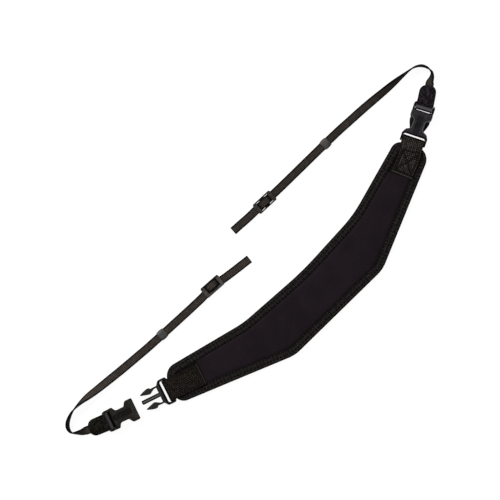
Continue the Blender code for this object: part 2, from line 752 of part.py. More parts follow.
def lifted(row):
    """A row's x, y, height of the middle line and roll, from the height of its lowest edge."""
    x, y, lowest, roll = row
    upright = abs(math.sin(math.radians(roll)))
    flat = abs(math.cos(math.radians(roll)))
    return (x, y, lowest + (WEBBING_WIDTH * upright + WEBBING_THICKNESS * flat) / 2.0, roll)


def slider_rows(place, drift):
    """The webbing under one end bar, over the middle bar and under the other end bar, outwards."""
    level = WEBBING_LIFT + WEBBING_THICKNESS / 2.0
    inwards = [(-u, rise, share) for u, rise, share in SLIDER_PASS]
    rows = []
    for u, rise, share in inwards + list(SLIDER_PASS[-2::-1]):
        x, y, _ = beyond(place, u, share * drift)
        rows.append((x, y, level + rise, 0.0))
    return rows


def straight_rows(stretch):
    start, end = (Vector(point) for point in stretch)
    lead = (end - start).normalized() * STRAIGHT_LEAD
    level = WEBBING_LIFT + WEBBING_THICKNESS / 2.0
    return [(point.x, point.y, level, 0.0) for point in (start, start + lead, end - lead, end)]


def build_webbing(name, tail, slider, drift, stretch, bend):
    rows = [lifted(row) for row in tail] + slider_rows(slider, drift) + straight_rows(stretch)
    route = thinned(smoothed(rows + [lifted(row) for row in bend], ROUTE_STEP))
    path = route[:, :3]
    along = np.gradient(path, axis=0)
    level_across = np.cross((0.0, 0.0, 1.0), along)
    level_across /= np.linalg.norm(level_across, axis=1, keepdims=True)
    facing = np.cross(along, level_across)
    facing /= np.linalg.norm(facing, axis=1, keepdims=True)
    roll = np.radians(route[:, 3:])
    across = level_across * np.cos(roll) + facing * np.sin(roll)
    widths = [WEBBING_WIDTH] * len(path)
    add_object(name, ribbon(path, across, widths, WEBBING_THICKNESS), "thin_webbing")


# ---- Keepers and sliders -------------------------------------------------------------------------
def superellipse(half_width, half_height, exponent, count):
    points = []
    for index in range(count):
        angle = math.tau * (index + 0.5) / count
        across = math.copysign(abs(math.cos(angle)) ** (2.0 / exponent), math.cos(angle))
        up = math.copysign(abs(math.sin(angle)) ** (2.0 / exponent), math.sin(angle))
        points.append((half_width * across, half_height * up))
    return points


def build_keeper(name, x, stretch):
    start, end = (Vector(point) for point in stretch)
    along = (end - start).normalized()
    middle = start + along * (x - start.x) / along.x
    rings = []
    for u, half_width, half_height in KEEPER_SECTIONS:
        oval = superellipse(half_width, half_height, KEEPER_OVAL, KEEPER_POINTS)
        rings.append([(u, v, w) for v, w in oval])
    slot = superellipse(*KEEPER_SLOT, KEEPER_SLOT_OVAL, KEEPER_POINTS)
    for u in (KEEPER_SECTIONS[-1][0], KEEPER_SECTIONS[0][0]):
        rings.append([(u, v, w + KEEPER_SLOT_RISE) for v, w in slot])
    shape = bmesh.new()
    skin(shape, rings, closed=True)
    turn = math.degrees(math.atan2(along.y, along.x))
    height = max(row[2] for row in KEEPER_SECTIONS)
    add_object(name, shape, "moulded_plastic", (middle.x, middle.y, turn), height)


def build_slider(name, place):
    half = list(SLIDER_OUTLINE) + [(-u, v) for u, v in SLIDER_OUTLINE[::-1]]
    frame_slab = slab(mirrored(half), SLIDER_LOW, SLIDER_HIGH, PLASTIC_EDGE)
    frame = add_object(name, frame_slab, "moulded_plastic", place)
    near, far, half_width = SLIDER_SLOT
    for label, low, high in ((".slot_a", near, far), (".slot_b", -far, -near)):
        floor = (low, -half_width, SLIDER_LOW - CUT_MARGIN)
        cutter = box(floor, (high, half_width, SLIDER_HIGH + CUT_MARGIN))
        combine(frame, add_object(name + label, cutter, "moulded_plastic"), "DIFFERENCE")


def build_left_end():
    bar = bar_place(LEFT_PRONG_PLACE, LEFT_PRONG_BAR)
    build_prong_buckle(
        "left_prong_buckle",
        LEFT_PRONG_PLACE,
        WIDE_TAB_HEIGHT,
        LEFT_PRONG_FRAME,
        LEFT_PRONG_FRAME_HALF_HEIGHT,
        LEFT_PRONG_BAR,
    )
    build_wide_tab("left_wide_tab", beyond(bar, 0.0, turn=180.0), LEFT_PRONG_BAR)
    build_socket_buckle(
        "left_socket_buckle",
        LEFT_SOCKET_PLACE,
        LEFT_SOCKET_BODY,
        LEFT_SOCKET_LOOP,
        LEFT_SOCKET_ARM,
        LEFT_SOCKET_BAR,
        LEFT_SOCKET_WINDOW,
    )
    tab = bar_place(LEFT_SOCKET_PLACE, LEFT_SOCKET_BAR)
    build_connector("left_connector_tab", tab, LEFT_SOCKET_BAR, LEFT_CONNECTOR)
    build_webbing(
        "left_webbing", LEFT_TAIL, LEFT_SLIDER_PLACE, LEFT_SLIDER_DRIFT, LEFT_STRAIGHT, LEFT_BEND
    )
    build_slider("left_slider", LEFT_SLIDER_PLACE)
    build_keeper("left_keeper", LEFT_KEEPER_X, LEFT_STRAIGHT)


def build_right_end():
    build_socket_buckle(
        "right_socket_buckle",
        RIGHT_SOCKET_PLACE,
        RIGHT_SOCKET_BODY,
        RIGHT_SOCKET_LOOP,
        RIGHT_SOCKET_ARM,
        RIGHT_SOCKET_BAR,
        RIGHT_SOCKET_WINDOW,
        RIGHT_LOOP_DROP,
    )
    bar = bar_place(RIGHT_SOCKET_PLACE, RIGHT_SOCKET_BAR)
    build_wide_tab("right_wide_tab", bar, RIGHT_SOCKET_BAR, RIGHT_TAB_BOW)
    prong_place = beyond(RIGHT_SOCKET_PLACE, -RIGHT_PRONG_SET_IN)
    build_prong_buckle(
        "right_prong_buckle",
        prong_place,
        SOCKET_HALF_HEIGHT,
        RIGHT_PRONG_FRAME,
        RIGHT_PRONG_FRAME_HALF_HEIGHT,
        RIGHT_PRONG_BAR,
        RIGHT_PRONG_SHIFT,
    )
    tab = beyond(bar_place(prong_place, RIGHT_PRONG_BAR), 0.0, turn=180.0 + RIGHT_CONNECTOR_ASKEW)
    build_connector("right_connector_tab", tab, RIGHT_PRONG_BAR, RIGHT_CONNECTOR)
    build_webbing("right_webbing", RIGHT_TAIL, RIGHT_SLIDER_PLACE, 0.0, RIGHT_STRAIGHT, RIGHT_BEND)
    build_slider("right_slider", RIGHT_SLIDER_PLACE)
    build_keeper("right_keeper", RIGHT_KEEPER_X, RIGHT_STRAIGHT)


def main():
    clear_scene()
    build_pad()
    build_binding()
    build_left_end()
    build_right_end()


main()
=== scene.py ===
"""How a camera neck strap looks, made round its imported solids, which give every place and size.

Seen from above, +X runs along the pad, +Y from the pad to the thin webbing, and +Z is up. Named sizes
are millimetres and degrees; points and meshes are metres, in the frame of the solids.
"""

import math

import bmesh
import bpy
import numpy as np
from mathutils import Matrix, Vector, geometry
from numpy.linalg import norm


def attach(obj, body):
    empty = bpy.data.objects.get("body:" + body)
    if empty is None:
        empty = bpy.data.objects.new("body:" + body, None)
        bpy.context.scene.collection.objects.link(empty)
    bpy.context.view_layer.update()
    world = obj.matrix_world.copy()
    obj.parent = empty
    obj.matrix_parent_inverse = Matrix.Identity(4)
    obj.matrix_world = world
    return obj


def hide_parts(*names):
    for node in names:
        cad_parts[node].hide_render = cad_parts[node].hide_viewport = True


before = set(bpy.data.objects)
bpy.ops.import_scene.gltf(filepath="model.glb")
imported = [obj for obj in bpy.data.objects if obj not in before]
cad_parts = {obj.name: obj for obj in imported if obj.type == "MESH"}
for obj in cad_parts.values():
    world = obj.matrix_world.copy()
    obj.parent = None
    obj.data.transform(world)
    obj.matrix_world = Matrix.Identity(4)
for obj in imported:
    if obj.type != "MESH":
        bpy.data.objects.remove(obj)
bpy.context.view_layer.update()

MM = 0.001
STRAP = "strap"  # the body of all but the keeper rings
WELD = 1e-5  # metres

# ---- Buckles and sliders ----
SOCKET_TOP = 8.6
GROOVE_FLOOR = 8.1  # height of the buckles' sunk faces
LEFT_PRONGS = (-196.1, -1.6, 161.5)  # x, y of the slot's middle, direction of the prongs
LEFT_SOCKET = (-236.3, 10.0, 160.7)  # x, y of the mouth, direction away from it
RIGHT_SOCKET = (270.65, 17.4, 206.5)
MOUTH_RIBS = ((0.6, 11.4), (3.2, 11.0))  # distance from the mouth, half length
SLIDERS = {"left": (-62.9, 48.8, 176.4), "right": (55.5, 76.6, -2.0)}  # x, y and direction
SOLID_RAIL = (5.5, 6.2)  # between these v lies the inner side of one of the solid slider's rails
SLIDER_RAILS = {"left": 3.9, "right": 5.75}  # v that side is moved to
LEFT_SLIDER_UPPER_RAIL = (-62.5, 55.4, 176.4)
LEFT_SLIDER_PULL = (-1.25, 8.0, 3.6)  # sideways pull of the webbing, half length, fade
GUIDE = (7.4, 2.8, 4.9)  # where the prongs' guide starts, half width, and a height below its rib's top
WINDOW_RIM = (  # u, v beside one side window
    (5.8, 12.0), (7.2, 11.6), (8.5, 10.0), (9.7, 8.2), (11.3, 7.0), (14.0, 6.7),
    (17.0, 6.7), (20.7, 6.8), (22.9, 7.9), (24.3, 10.2), (25.4, 12.2),
)
RIB_SIDES = 12
FULLER = 0.15  # how far the moulded pieces stand out from their solids' sides
BEVEL_FROM = 28.0  # the least angle of an edge that is rounded
UPPER_EDGE = 0.82  # how far up a rounded edge's face looks, where it gets wear and a painted highlight and not painted shade
# values kept as "edge": wear and painted highlight on upper rounded edges, painted shade on edges turned
# away, side walls and sunk floors
RUBBED_AND_HIGHLIT, TURNED_AWAY, SIDE_WALL, SUNK_FLOOR = 0.55, -0.8, -0.5, -0.55
LIP_FADE = 0.5
MOULDED = {
    # colour of the face and of its upper edges, which show wear and a painted highlight; then its bands of
    # painted shade, each with its place, from where to where along it, the half widths it lies between, and
    # how dark it is
    "left_prong_buckle": (
        (52, 51, 49), (96, 95, 92),
        (LEFT_PRONGS, 0.5, 3.3, 0.0, 20.0, 0.9),
        (LEFT_PRONGS, -9.0, 3.0, 13.0, 20.0, 0.6),
    ),
    "left_socket_buckle": (
        (45, 42, 38), (84, 82, 78),
        (LEFT_SOCKET, 29.8, 31.8, 0.0, 11.5, 0.9),
        (LEFT_SOCKET, 30.5, 38.5, 10.6, 11.7, 0.7),
    ),
    "right_socket_buckle": (
        (54, 51, 55), (92, 90, 94),
        (RIGHT_SOCKET, 28.5, 30.8, 0.0, 13.5, 0.75),
        (RIGHT_SOCKET, 30.5, 41.0, 12.0, 16.6, 0.85),
    ),
    "right_prong_buckle": (
        (41, 39, 41), (54, 52, 55),
        (RIGHT_SOCKET, -11.0, -2.0, 10.0, 11.9, 0.9),
        (RIGHT_SOCKET, 8.5, 22.0, 7.5, 9.4, 0.95),
    ),
    "left_slider": (
        (82, 79, 76), (106, 103, 100),
        (LEFT_SLIDER_UPPER_RAIL, -20.0, 20.0, 0.0, 1.2, 0.75),
        (SLIDERS["left"], 2.8, 9.0, 0.0, 4.4, 0.8),
        (SLIDERS["left"], -9.0, -2.8, 0.0, 4.4, 0.8),
    ),
    "right_slider": ((62, 59, 57), (98, 94, 92), (SLIDERS["right"], -9.5, 9.5, 5.2, 9.0, 0.7)),
}
RING_FINISH = ((79, 76, 73), (114, 111, 107), 0.5, 0.3)  # as above, then roughness and gloss
BUCKLE_ROUGHNESS, BUCKLE_GLOSS = 0.45, 0.06
MOTTLE = 0.35  # of the dark flecks on moulded plastic
ROUNDINGS = {"_slider": 0.45, "_prong_buckle": 0.4, "_socket_buckle": 0.5}

# ---- The picture ----
VIEW_WIDTH = 615.0  # of the floor across the picture
VIEW_MIDDLE = (1.3, 47.8)
VIEW_ROLL = -45.0
LENS = 200.0
SENSOR = 36.0
FLOOR_REACH = 6.0  # metres
FLOOR_BELOW = 0.18  # what the cloth's ribs stand out below the solids
FLOOR_GLOW = 0.94  # a lit table, which leaves hardly any shadow
DOME_LIGHT = 0.22
KEY_LIGHT = (0.7, 85.0, (-0.4, 2.3, 1.7))  # size, power, place, in metres and watts
FILL_LIGHT = (1.2, 12.0, (1.2, -1.9, 1.5))

# ---- Pad and binding, outline as in the solids ----
PAD_CORNERS = (  # x, y, radius of each corner, counter-clockwise
    (-194.0, -23.6, 12.5), (-50.8, -82.6, 45.0), (99.7, -84.3, 45.0),
    (244.8, -23.1, 16.5), (222.8, 16.4, 12.0), (120.8, -11.9, 170.0),
    (28.6, -16.3, 400.0), (-67.9, -9.9, 120.0), (-179.0, 18.8, 17.0),
)
ARC_STEP = 2.0
OUTLINE_SPACING = 1.5
SMALLEST_RADIUS = 0.8
PAD_ENDS = (
    # x, y of the middle of the buckle's bar at each end and the direction from there along the pad
    (-190.98, -3.31, -18.5),
    (238.30, 1.27, 206.5),
)
PRESS_END = 50.0  # the pad is pressed flat this far from a buckle's bar
PRESS_FADE = 16.0
TAB_SHADE_FADE = 3.0  # of the dark beside a wide tab, past its end
PAD_PROFILE = (  # inset, bottom and top along the pad, bottom and top under a tab
    (1.3, 2.0, 3.0, 3.0, 3.5), (1.6, 1.5, 3.6, 2.8, 3.8), (2.2, 0.9, 4.1, 2.7, 3.9),
    (5.6, 0.9, 4.1, 2.7, 3.9), (8.6, 0.9, 4.1, 2.7, 3.9), (9.9, 0.9, 4.1, 2.7, 3.9),
    (10.4, 0.8, 4.2, 2.6, 3.9), (10.9, 0.6, 4.6, 2.4, 4.2), (11.6, 0.3, 5.0, 2.1, 4.5),
    (12.6, 0.05, 5.3, 1.9, 4.7), (13.9, 0.0, 5.45, 1.8, 4.8), (15.6, 0.0, 5.55, 1.8, 4.8),
    (18.0, 0.0, 5.6, 1.8, 4.8),
)
PAD_CROWN = 0.25  # extra rise of the pad's middle
PAD_CROWN_INSET = 36.0
PAD_PUCKER = (0.2, 11.6, 1.2)  # depth, inset and width of its dips beside the binding
PAD_GRID = 2.6
FLAP = 10.2  # inset of the binding's sewn edge
BINDING_FULLNESS = 0.3
ZIGZAG_PITCH = 8.8
ZIGZAG_ROWS = ((4.3, 0.0), (8.9, 0.5))  # inset of the turns on each side, and their share of the pitch
ZIGZAG_STEPS = 3  # stitches from one side to the other
ROWS_PER_ZIGZAG = 8
SEAM_GROOVE = (0.14, 0.8)  # depth and width of the line the zigzag seam draws in
DIP_DEPTH = 0.5
DIP_RADIUS = 1.2
BINDING_STITCHES = (  # side, direction, height along the pad and under a tab
    ("top", 1.0, 4.75, 4.55),
    ("under", -1.0, 0.3, 2.1),
)

# ---- Webbing and tabs ----
THIN_RIB = 2.14
THIN_RIB_DEPTH = 0.12
THIN_RIB_PROUD = 0.03  # of the ribs, beyond the solid
THIN_FULLNESS = 0.5  # how far its soft edges swell on each side
ON_EDGE_FULLNESS = 0.35  # of each face of the thin webbing, where it stands on edge
THIN_DIVE = ((5.2, 2.2), (11.0, 2.0))  # from a slider's middle: painted shade starts, ends, each with its fade
THIN_FINISHES = {  # name, and how light its threads are; the right copy is painted darker as shade
    "left": ("thin_webbing", 1.0),
    "right": ("shaded_thin_webbing", 0.9),
}
CORD = 2.3  # width of the wide webbing's cords
FLOAT_LAG = 0.3  # of the weave's pitch, from one cord of the wide webbing to the next
CORD_RELIEF = (0.35, 0.7)  # height of the weave, and the share of it that is sunk
WIDE_FOLD = (2.9, 1.2)  # half length and fade of the painted shade round the bar
WIDE_WEAVES = {
    # name, pitch, melted lip, colour between the cords, dark and light threads, how dark the seam is
    "right": ("wide_webbing", 2.44, 2.4, (5, 4, 3), ((38, 33, 29), (86, 78, 73)), 0.8),
    "left": ("fine_wide_webbing", 2.7, 1.8, (3, 2, 2), ((27, 22, 18), (61, 53, 46)), 0.35),
}
TAB_TURNS = {  # direction in which each tab's end points
    "left_wide_tab": -18.5,
    "right_wide_tab": 206.5,
    "left_connector_tab": 155.3,
    "right_connector_tab": 39.1,
}
WIDE_TAB_LENGTH = 45.0
BOX_STITCH = (4.0, 31.0, 10.6)  # near and far distance from the tab's end, half width
BOX_PITCH = 3.0
LEATHERS = {  # name, dark and light grain, and where it shows wear and a painted highlight
    "left": ("grained_tab", (15, 14, 9), (36, 34, 27), (64, 62, 65)),
    "right": ("violet_grained_tab", (24, 20, 25), (52, 46, 52), (86, 84, 88)),
}
FOLD_BULGE = {"left": 0.3, "right": 0.6}  # of a connector tab, beyond the solid's
FOLD_BAND = {  # start and end of the band of wear and painted highlight, from the middle of the bend, and its fade; nearer that middle is painted shade
    "left": (2.3, 4.0, 2.6),
    "right": (1.9, 3.4, 3.0),
}
FOLD_START_FADE = 0.7
TAB_SEAM_INSET = 2.3  # from the connector tab's sides
TAB_SEAM_TIP = 2.6
TAB_SEAM_END = 21.0
TAB_SEAM_PITCH = 3.1
DRAWN_IN = (0.8, 1.6, 2.6)  # depth to which its plies are drawn together, width and fade
NEAR_BAR = (9.0, 5.0)  # the plies stay apart this far from the fold, and the fade
TIP_EASE = (0.6, 3.0, 5.0)  # how much farther off the tip counts, how much more within this half width
SEAM_DIMPLE = (0.12, 0.5)  # depth and width of the line its stitches draw in
EDGE_STEPS = 7  # points round a band's edge
END_SLIM = (0.3, 0.35)  # how much thinner a band's very end is, and over what length
ON_EDGE_RIM = 0.35  # what the distance from a band's edges counts for at least, where it stands on edge

# ---- Stitches ----
THREAD_RADIUS = 0.26
STITCH_SHARES = (0.0, 0.14, 0.5, 0.86, 1.0)  # places of a stitch's rings along it
STITCH_DIVE, STITCH_SHOULDER = 1.3, 0.3  # of its ends and the rings beside them, in radii
STITCH_SIDES = 6
STITCH_FLATNESS = 0.8
STITCH_PROUD = 0.35  # of its middle above the cloth, in radii
BINDING_STITCH_GAP = 0.06  # of a stitch's length, at each end
UNDER_SINK = 0.15  # of the stitches the strap lies on, into the cloth


# ---- Numbers and directions ----
def heading(turn):
    return Vector((math.cos(math.radians(turn)), math.sin(math.radians(turn))))


def left_of(direction):
    return Vector((-direction.y, direction.x))


def unit(vectors):
    return vectors / norm(vectors, axis=-1, keepdims=True)


def rise(value, start, reach):
    """Rises smoothly from 0 at start to 1 where value is reach further on."""
    share = np.clip((value - start) / reach, 0.0, 1.0)
    return share * share * (3.0 - 2.0 * share)


def bell(distance, width):
    """1 at no distance, falling to nearly 0 at twice the width."""
    return np.exp(-((distance / width) ** 2))


def covered(points):
    """The distance along a line to each of its points."""
    return np.append(0.0, np.cumsum(norm(np.diff(points, axis=0), axis=1)))


def sampled(rows, at, where):
    """Rows of numbers known at some distances, read off at others."""
    return np.stack([np.interp(where, at, column) for column in rows.T], axis=1)


# The next four work on a mesh's numbers and a finish's values alike.
def ridge(value, pitch):
    """1 along the middle of each rib and 0 in the grooves between them."""
    turns = value * (math.pi / pitch)
    return abs(value.finish.math("COSINE", turns) if isinstance(value, Value) else np.cos(turns))


def basket_height(along, across, pitch):
    """The weave of wide webbing: rows of short floats, every other cord's a little later."""
    cords = across / CORD
    column = cords.floor() if isinstance(cords, Value) else np.floor(cords)
    late = (column * 0.5) % 1.0 * FLOAT_LAG * 2.0
    return ridge(along + late * pitch, pitch) * ridge(cords % 1.0 - 0.5, 1.0)


def zigzag_inset(share):
    """Inset of the zigzag seam at a share of its pitch."""
    (outer, _), (inner, _) = ZIGZAG_ROWS
    return outer + (inner - outer) * (1.0 - abs(2.0 * (share % 1.0) - 1.0))


def from_turn(along, pitch, phase):
    """Distance along the edge from the nearest turn of the zigzag seam."""
    return abs((along / pitch + phase + 0.5) % 1.0 - 0.5) * pitch


# ---- Materials ----
def ink(red, green, blue):
    """The light of a colour given by its screen values."""
    shares = [part / 255.0 for part in (red, green, blue)]
    return (*(((s + 0.055) / 1.055) ** 2.4 if s > 0.04 else s / 12.92 for s in shares), 1.0)


def operator(operation, reflected=False):
    """What an operator on a value does: it adds a Math node."""

    def add_node(value, other):
        return value.finish.math(operation, *((other, value) if reflected else (value, other)))

    return add_node


class Value:
    """A number that varies over a surface."""

    def __init__(self, finish, socket):
        self.finish = finish
        self.socket = socket

    __add__ = __radd__ = operator("ADD")
    __mul__ = __rmul__ = operator("MULTIPLY")
    __sub__ = operator("SUBTRACT")
    __rsub__ = operator("SUBTRACT", reflected=True)
    __truediv__ = operator("DIVIDE")
    __rtruediv__ = operator("DIVIDE", reflected=True)
    __mod__ = operator("FLOORED_MODULO")
    __rmod__ = operator("FLOORED_MODULO", reflected=True)
    larger = operator("MAXIMUM")

    def __abs__(self):
        return self.finish.math("ABSOLUTE", self)

    def floor(self):
        return self.finish.math("FLOOR", self)

    def wave(self, period):
        """A sine with this period, from -1 to 1."""
        return self.finish.math("SINE", self * (math.tau / period))

    def step(self, low, high):
        """Rises smoothly from 0 at low to 1 at high."""
        settings = {"interpolation_type": "SMOOTHSTEP"}
        return self.finish.node("MapRange", settings, {"Value": self, "From Min": low, "From Max": high})

    def fall(self, low, high):
        """Falls smoothly from 1 at low to 0 at high."""
        return 1.0 - self.step(low, high)

    def between(self, low, high, fade):
        """1 between low and high, falling smoothly to 0 beyond them."""
        return self.step(low - fade, low) * self.fall(high, high + fade)


class Finish:
    """A material, with the nodes that work out its colour, roughness and bumps."""

    def __init__(self, name, roughness, specular):
        self.material = bpy.data.materials.new(name)
        self.material.use_nodes = True
        self.tree = self.material.node_tree
        self.shader = self.tree.nodes["Principled BSDF"]
        self.set("Roughness", roughness)
        self.set("Specular IOR Level", specular)

    def node(self, kind, settings=None, sockets=None, output=0):
        """Adds a node: its type, its settings, then the values or links of its sockets."""
        made = self.tree.nodes.new("ShaderNode" + kind)
        for name, value in (settings or {}).items():
            setattr(made, name, value)
        for key, value in (sockets or {}).items():
            self.feed(made.inputs[key], value)
        return Value(self, made.outputs[output])

    def feed(self, socket, value):
        if isinstance(value, Value):
            self.tree.links.new(value.socket, socket)
        else:
            socket.default_value = value

    def math(self, operation, *values):
        return self.node("Math", {"operation": operation}, dict(enumerate(values)))

    def mix(self, share, *colours):
        """Between two colours, each a value, three screen values or four numbers of light."""
        first, second = (c if isinstance(c, Value) or len(c) == 4 else ink(*c) for c in colours)
        sockets = {"Factor": share, 6: first, 7: second}
        return self.node("Mix", {"data_type": "RGBA"}, sockets, output=2)

    def paint(self, share, dark, light, *coats):
        """Colours the surface from dark to light by a share, under coats of a share and a colour each."""
        base = self.mix(share, dark, light)
        for cover, colour in coats:
            base = self.mix(cover, base, colour)
        self.set("Base Color", base)

    def place(self):
        return self.node("TexCoord", output="Object")

    def parts(self, vector):
        """The x and y of a vector."""
        return [self.node("SeparateXYZ", {}, {"Vector": vector}, output=axis) for axis in "XY"]

    def chart(self):
        """Distance along and across the cloth, in millimetres."""
        return self.parts(self.node("UVMap", {"uv_map": "cloth"}))

    def stored(self, name):
        """The number that the mesh keeps under a name."""
        return self.node("Attribute", {"attribute_name": name}, output="Fac")

    def placed(self, place):
        """Distance along and across a place's direction, in millimetres."""
        x, y, turn = place
        ahead = heading(turn)
        here = self.place()
        out = []
        for axis in (ahead, left_of(ahead)):
            reach = self.node("VectorMath", {"operation": "DOT_PRODUCT"}, {0: here, 1: (*axis, 0.0)}, 1)
            out.append(reach / MM - Vector((x, y)).dot(axis))
        return out

    def noise(self, size, detail=2.0):
        """Noise about 0.5, with features of this size in millimetres."""
        sockets = {"Vector": self.place(), "Scale": 1.0 / (size * MM), "Detail": detail}
        return self.node("TexNoise", {}, sockets)

    def cells(self, size, settings, sockets):
        """Distance from the middle of cells of this size in millimetres."""
        sockets = {"Vector": self.place(), "Scale": 1.0 / (size * MM), **sockets}
        return self.node("TexVoronoi", settings, sockets)

    def set(self, name, value):
        self.feed(self.shader.inputs[name], value)

    def bumps(self, height, depth, strength=1.0):
        """Raises the surface by depth, in millimetres, where height is 1."""
        sockets = {"Height": height, "Distance": depth * MM, "Strength": strength}
        self.set("Normal", self.node("Bump", {}, sockets))


def neoprene_finish():
    """Purplish black jersey, knitted in fine columns, on foam, with painted shade beside the wide tabs."""
    finish = Finish("neoprene", 0.82, 0.06)
    cloud = finish.noise(26.0, 3.0).step(0.35, 0.65)
    speck = finish.noise(1.5, 2.0).step(0.3, 0.7)
    # painted shade beside the wide tabs
    shade_beside_tab = finish.stored("painted_shading").step(0.3, 0.9)
    coats = ((speck * 0.4, (40, 33, 36)), (shade_beside_tab * 0.75, (5, 4, 4)))
    finish.paint(cloud, (27, 20, 25), (32, 25, 31), *coats)
    finish.set("Roughness", 0.76 + 0.12 * speck)
    x, y = (part / MM for part in finish.parts(finish.place()))
    columns = (y + 0.12 * x.wave(0.8)).wave(0.55)
    finish.bumps(columns * 0.5 + finish.noise(0.5) * 0.8, 0.12, 0.8)
    return finish


def binding_finish():
    """Charcoal stretch tape with a fine slanted knit, with painted shade at its edges, in the dips where
    the zigzag seam turns and along the seam's groove.
    """
    finish = Finish("stretch_binding", 0.85, 0.06)
    along, inset = finish.chart()
    knit = (along + inset * 0.7).wave(0.9) * (along * 0.6 - inset).wave(1.3)
    cloud = finish.noise(3.0, 3.0).step(0.3, 0.7)
    speck = finish.noise(1.7, 1.0).step(0.45, 0.6)
    ragged = finish.noise(1.6, 2.0) * 0.8 - 0.4
    shade = (inset.step(8.8, 10.0) * 0.55).larger(inset.fall(1.0, 1.7) * 0.85)
    for row, phase in ZIGZAG_ROWS:
        for later, dark in ((0.0, 1.0), (0.5, 0.8)):
            beside = from_turn(along, ZIGZAG_PITCH, phase + later)
            above = inset - row
            apart = finish.math("SQRT", beside * beside + above * above) + ragged
            shade = shade.larger(apart.fall(1.0, 2.2) * dark)
    from_seam = abs(inset - zigzag_inset(along / ZIGZAG_PITCH))
    shade = shade.larger(from_seam.fall(0.2, 1.0) * 0.5)
    coats = (((knit * 0.5 + 0.5) * 0.5, (58, 53, 52)), (speck * 0.6, (10, 6, 6)), (shade * 0.95, (4, 3, 3)))
    finish.paint(cloud, (20, 16, 16), (50, 45, 45), *coats)
    finish.set("Roughness", 0.78 + 0.1 * cloud)
    finish.bumps(knit * 0.5 + finish.noise(0.7) * 0.7, 0.14, 0.9)
    return finish


def wide_webbing_finish(name, pitch, lip, gap, threads, seam):
    """Black webbing woven of thick cords, sewn with a dark seam, with a melted lip at its cut end, and
    painted shade along its edges and round the bar.
    """
    finish = Finish(name, 0.8, 0.08)
    along, across = finish.chart()
    weave = basket_height(along, across, pitch)
    patchy = finish.noise(1.5, 1.0).step(0.38, 0.62)
    near, far, half = BOX_STITCH
    half_length = (far - near) / 2.0
    slope = math.atan2(half, half_length)
    from_middle = abs(along - (near + far) / 2.0)
    box = abs((abs(across) - half).larger(from_middle - half_length))
    cross = abs(abs(across) * math.cos(slope) - from_middle * math.sin(slope))
    cross = cross + (from_middle - half_length).step(0.0, 0.5) * 9.0
    from_seam = finish.math("MINIMUM", box, cross) + finish.noise(2.0, 1.0) * 1.2 - 0.6
    behind_lip = along.step(lip * 0.6, lip * 0.8) * along.fall(lip * 1.1, lip * 1.5)
    coats = (
        (from_seam.fall(0.5, 1.7) * seam, (4, 3, 3)),
        # painted shade along the edges and round the bar
        (finish.stored("rim").fall(0.5, 1.9) * 0.85, (4, 3, 3)),
        (finish.stored("painted_shading") * 0.95, (3, 3, 3)),
        (behind_lip * 0.8, (5, 4, 3)),
        (along.fall(lip * 0.5, lip * 0.7) * 0.7, (66, 61, 53)),
    )
    finish.paint(weave.step(0.1, 0.75), gap, finish.mix(patchy, *threads), *coats)
    strands = (along * 0.5 + across * 2.0).wave(0.7)
    finish.bumps(weave * 0.8 + strands * 0.15 + finish.noise(0.4) * 0.3, 0.25, 0.9)
    return finish


def thin_webbing_finish(name, light):
    """Warm charcoal webbing with ribs across it, with painted shade along its edges, under the slider's end
    bars and where it stands on edge; light scales its threads' colours, and below 1 gives a copy painted
    darker as shade.
    """
    finish = Finish(name, 0.72, 0.08)
    along, across = finish.chart()
    rib = ridge(along, THIN_RIB)
    cord = ridge(across, 1.05)
    cloud = finish.noise(6.0, 3.0).step(0.3, 0.7)
    speck = finish.noise(1.6, 1.0).step(0.35, 0.65)
    threads = [[light * part for part in colour] for colour in ((66, 60, 54), (84, 76, 70))]
    coats = (
        (speck * 0.6, (46, 39, 36)),
        (rib.fall(0.1, 0.85) * 0.92, (9, 8, 7)),
        (cord.fall(0.0, 0.5) * 0.3, (28, 25, 23)),
        # painted shade along the edges, under the slider's end bars and where the webbing stands on edge
        (finish.stored("rim").fall(0.8, 1.8) * 0.92, (4, 3, 3)),
        (finish.stored("painted_shading") * 0.9, (6, 5, 5)),
    )
    finish.paint(cloud, *threads, *coats)
    finish.set("Roughness", 0.66 + 0.14 * cloud)
    strands = (across + along * 0.4).wave(0.35)
    finish.bumps(rib * 0.4 + cord * 0.35 + strands * 0.1 + finish.noise(0.3) * 0.2, 0.18, 0.9)
    return finish


def grained_tab_finish(name, dark, light, wear_and_painted_light):
    """Leather with a pebbled, pricked grain, smoothed by wear beside the bar and painted lighter there as a
    highlight, with painted shade where the bend turns down and along its edges.
    """
    finish = Finish(name, 0.6, 0.05)
    pebble = 1.0 - finish.cells(1.3, {"feature": "SMOOTH_F1"}, {"Smoothness": 0.6})
    pricks = finish.cells(4.2, {"feature": "F1", "voronoi_dimensions": "2D"}, {"Randomness": 0.65})
    prick = pricks.fall(0.17, 0.3)
    cloud = finish.noise(5.0, 3.0).step(0.35, 0.65)
    # painted_shading is wear and painted highlight above 0, painted shade below 0; the rim gives painted
    # shade along the edges
    bent = finish.stored("painted_shading")
    smooth_and_highlit = bent.step(0.0, 1.0)
    coats = (
        ((1.0 - pebble).step(0.25, 0.7) * 0.45, (5, 5, 5)),
        (prick * 0.95, (2, 1, 2)),
        (finish.stored("rim").fall(0.5, 1.6) * 0.9, (3, 3, 3)),
        (smooth_and_highlit * 0.9, wear_and_painted_light),
        ((0.0 - bent).step(0.0, 1.0) * 0.95, (3, 3, 3)),
    )
    finish.paint(cloud, dark, light, *coats)
    finish.set("Roughness", 0.5 + 0.25 * cloud)
    finish.bumps((pebble - prick) * (1.0 - 0.8 * smooth_and_highlit) + finish.noise(0.3) * 0.2, 0.3, 0.9)
    return finish


def thread_finish(name, dark, light):
    """Polyester thread, laid with a slight sheen."""
    finish = Finish(name, 0.6, 0.2)
    twist = finish.noise(0.5, 2.0)
    finish.paint(twist, dark, light)
    finish.bumps(twist, 0.1)
    return finish


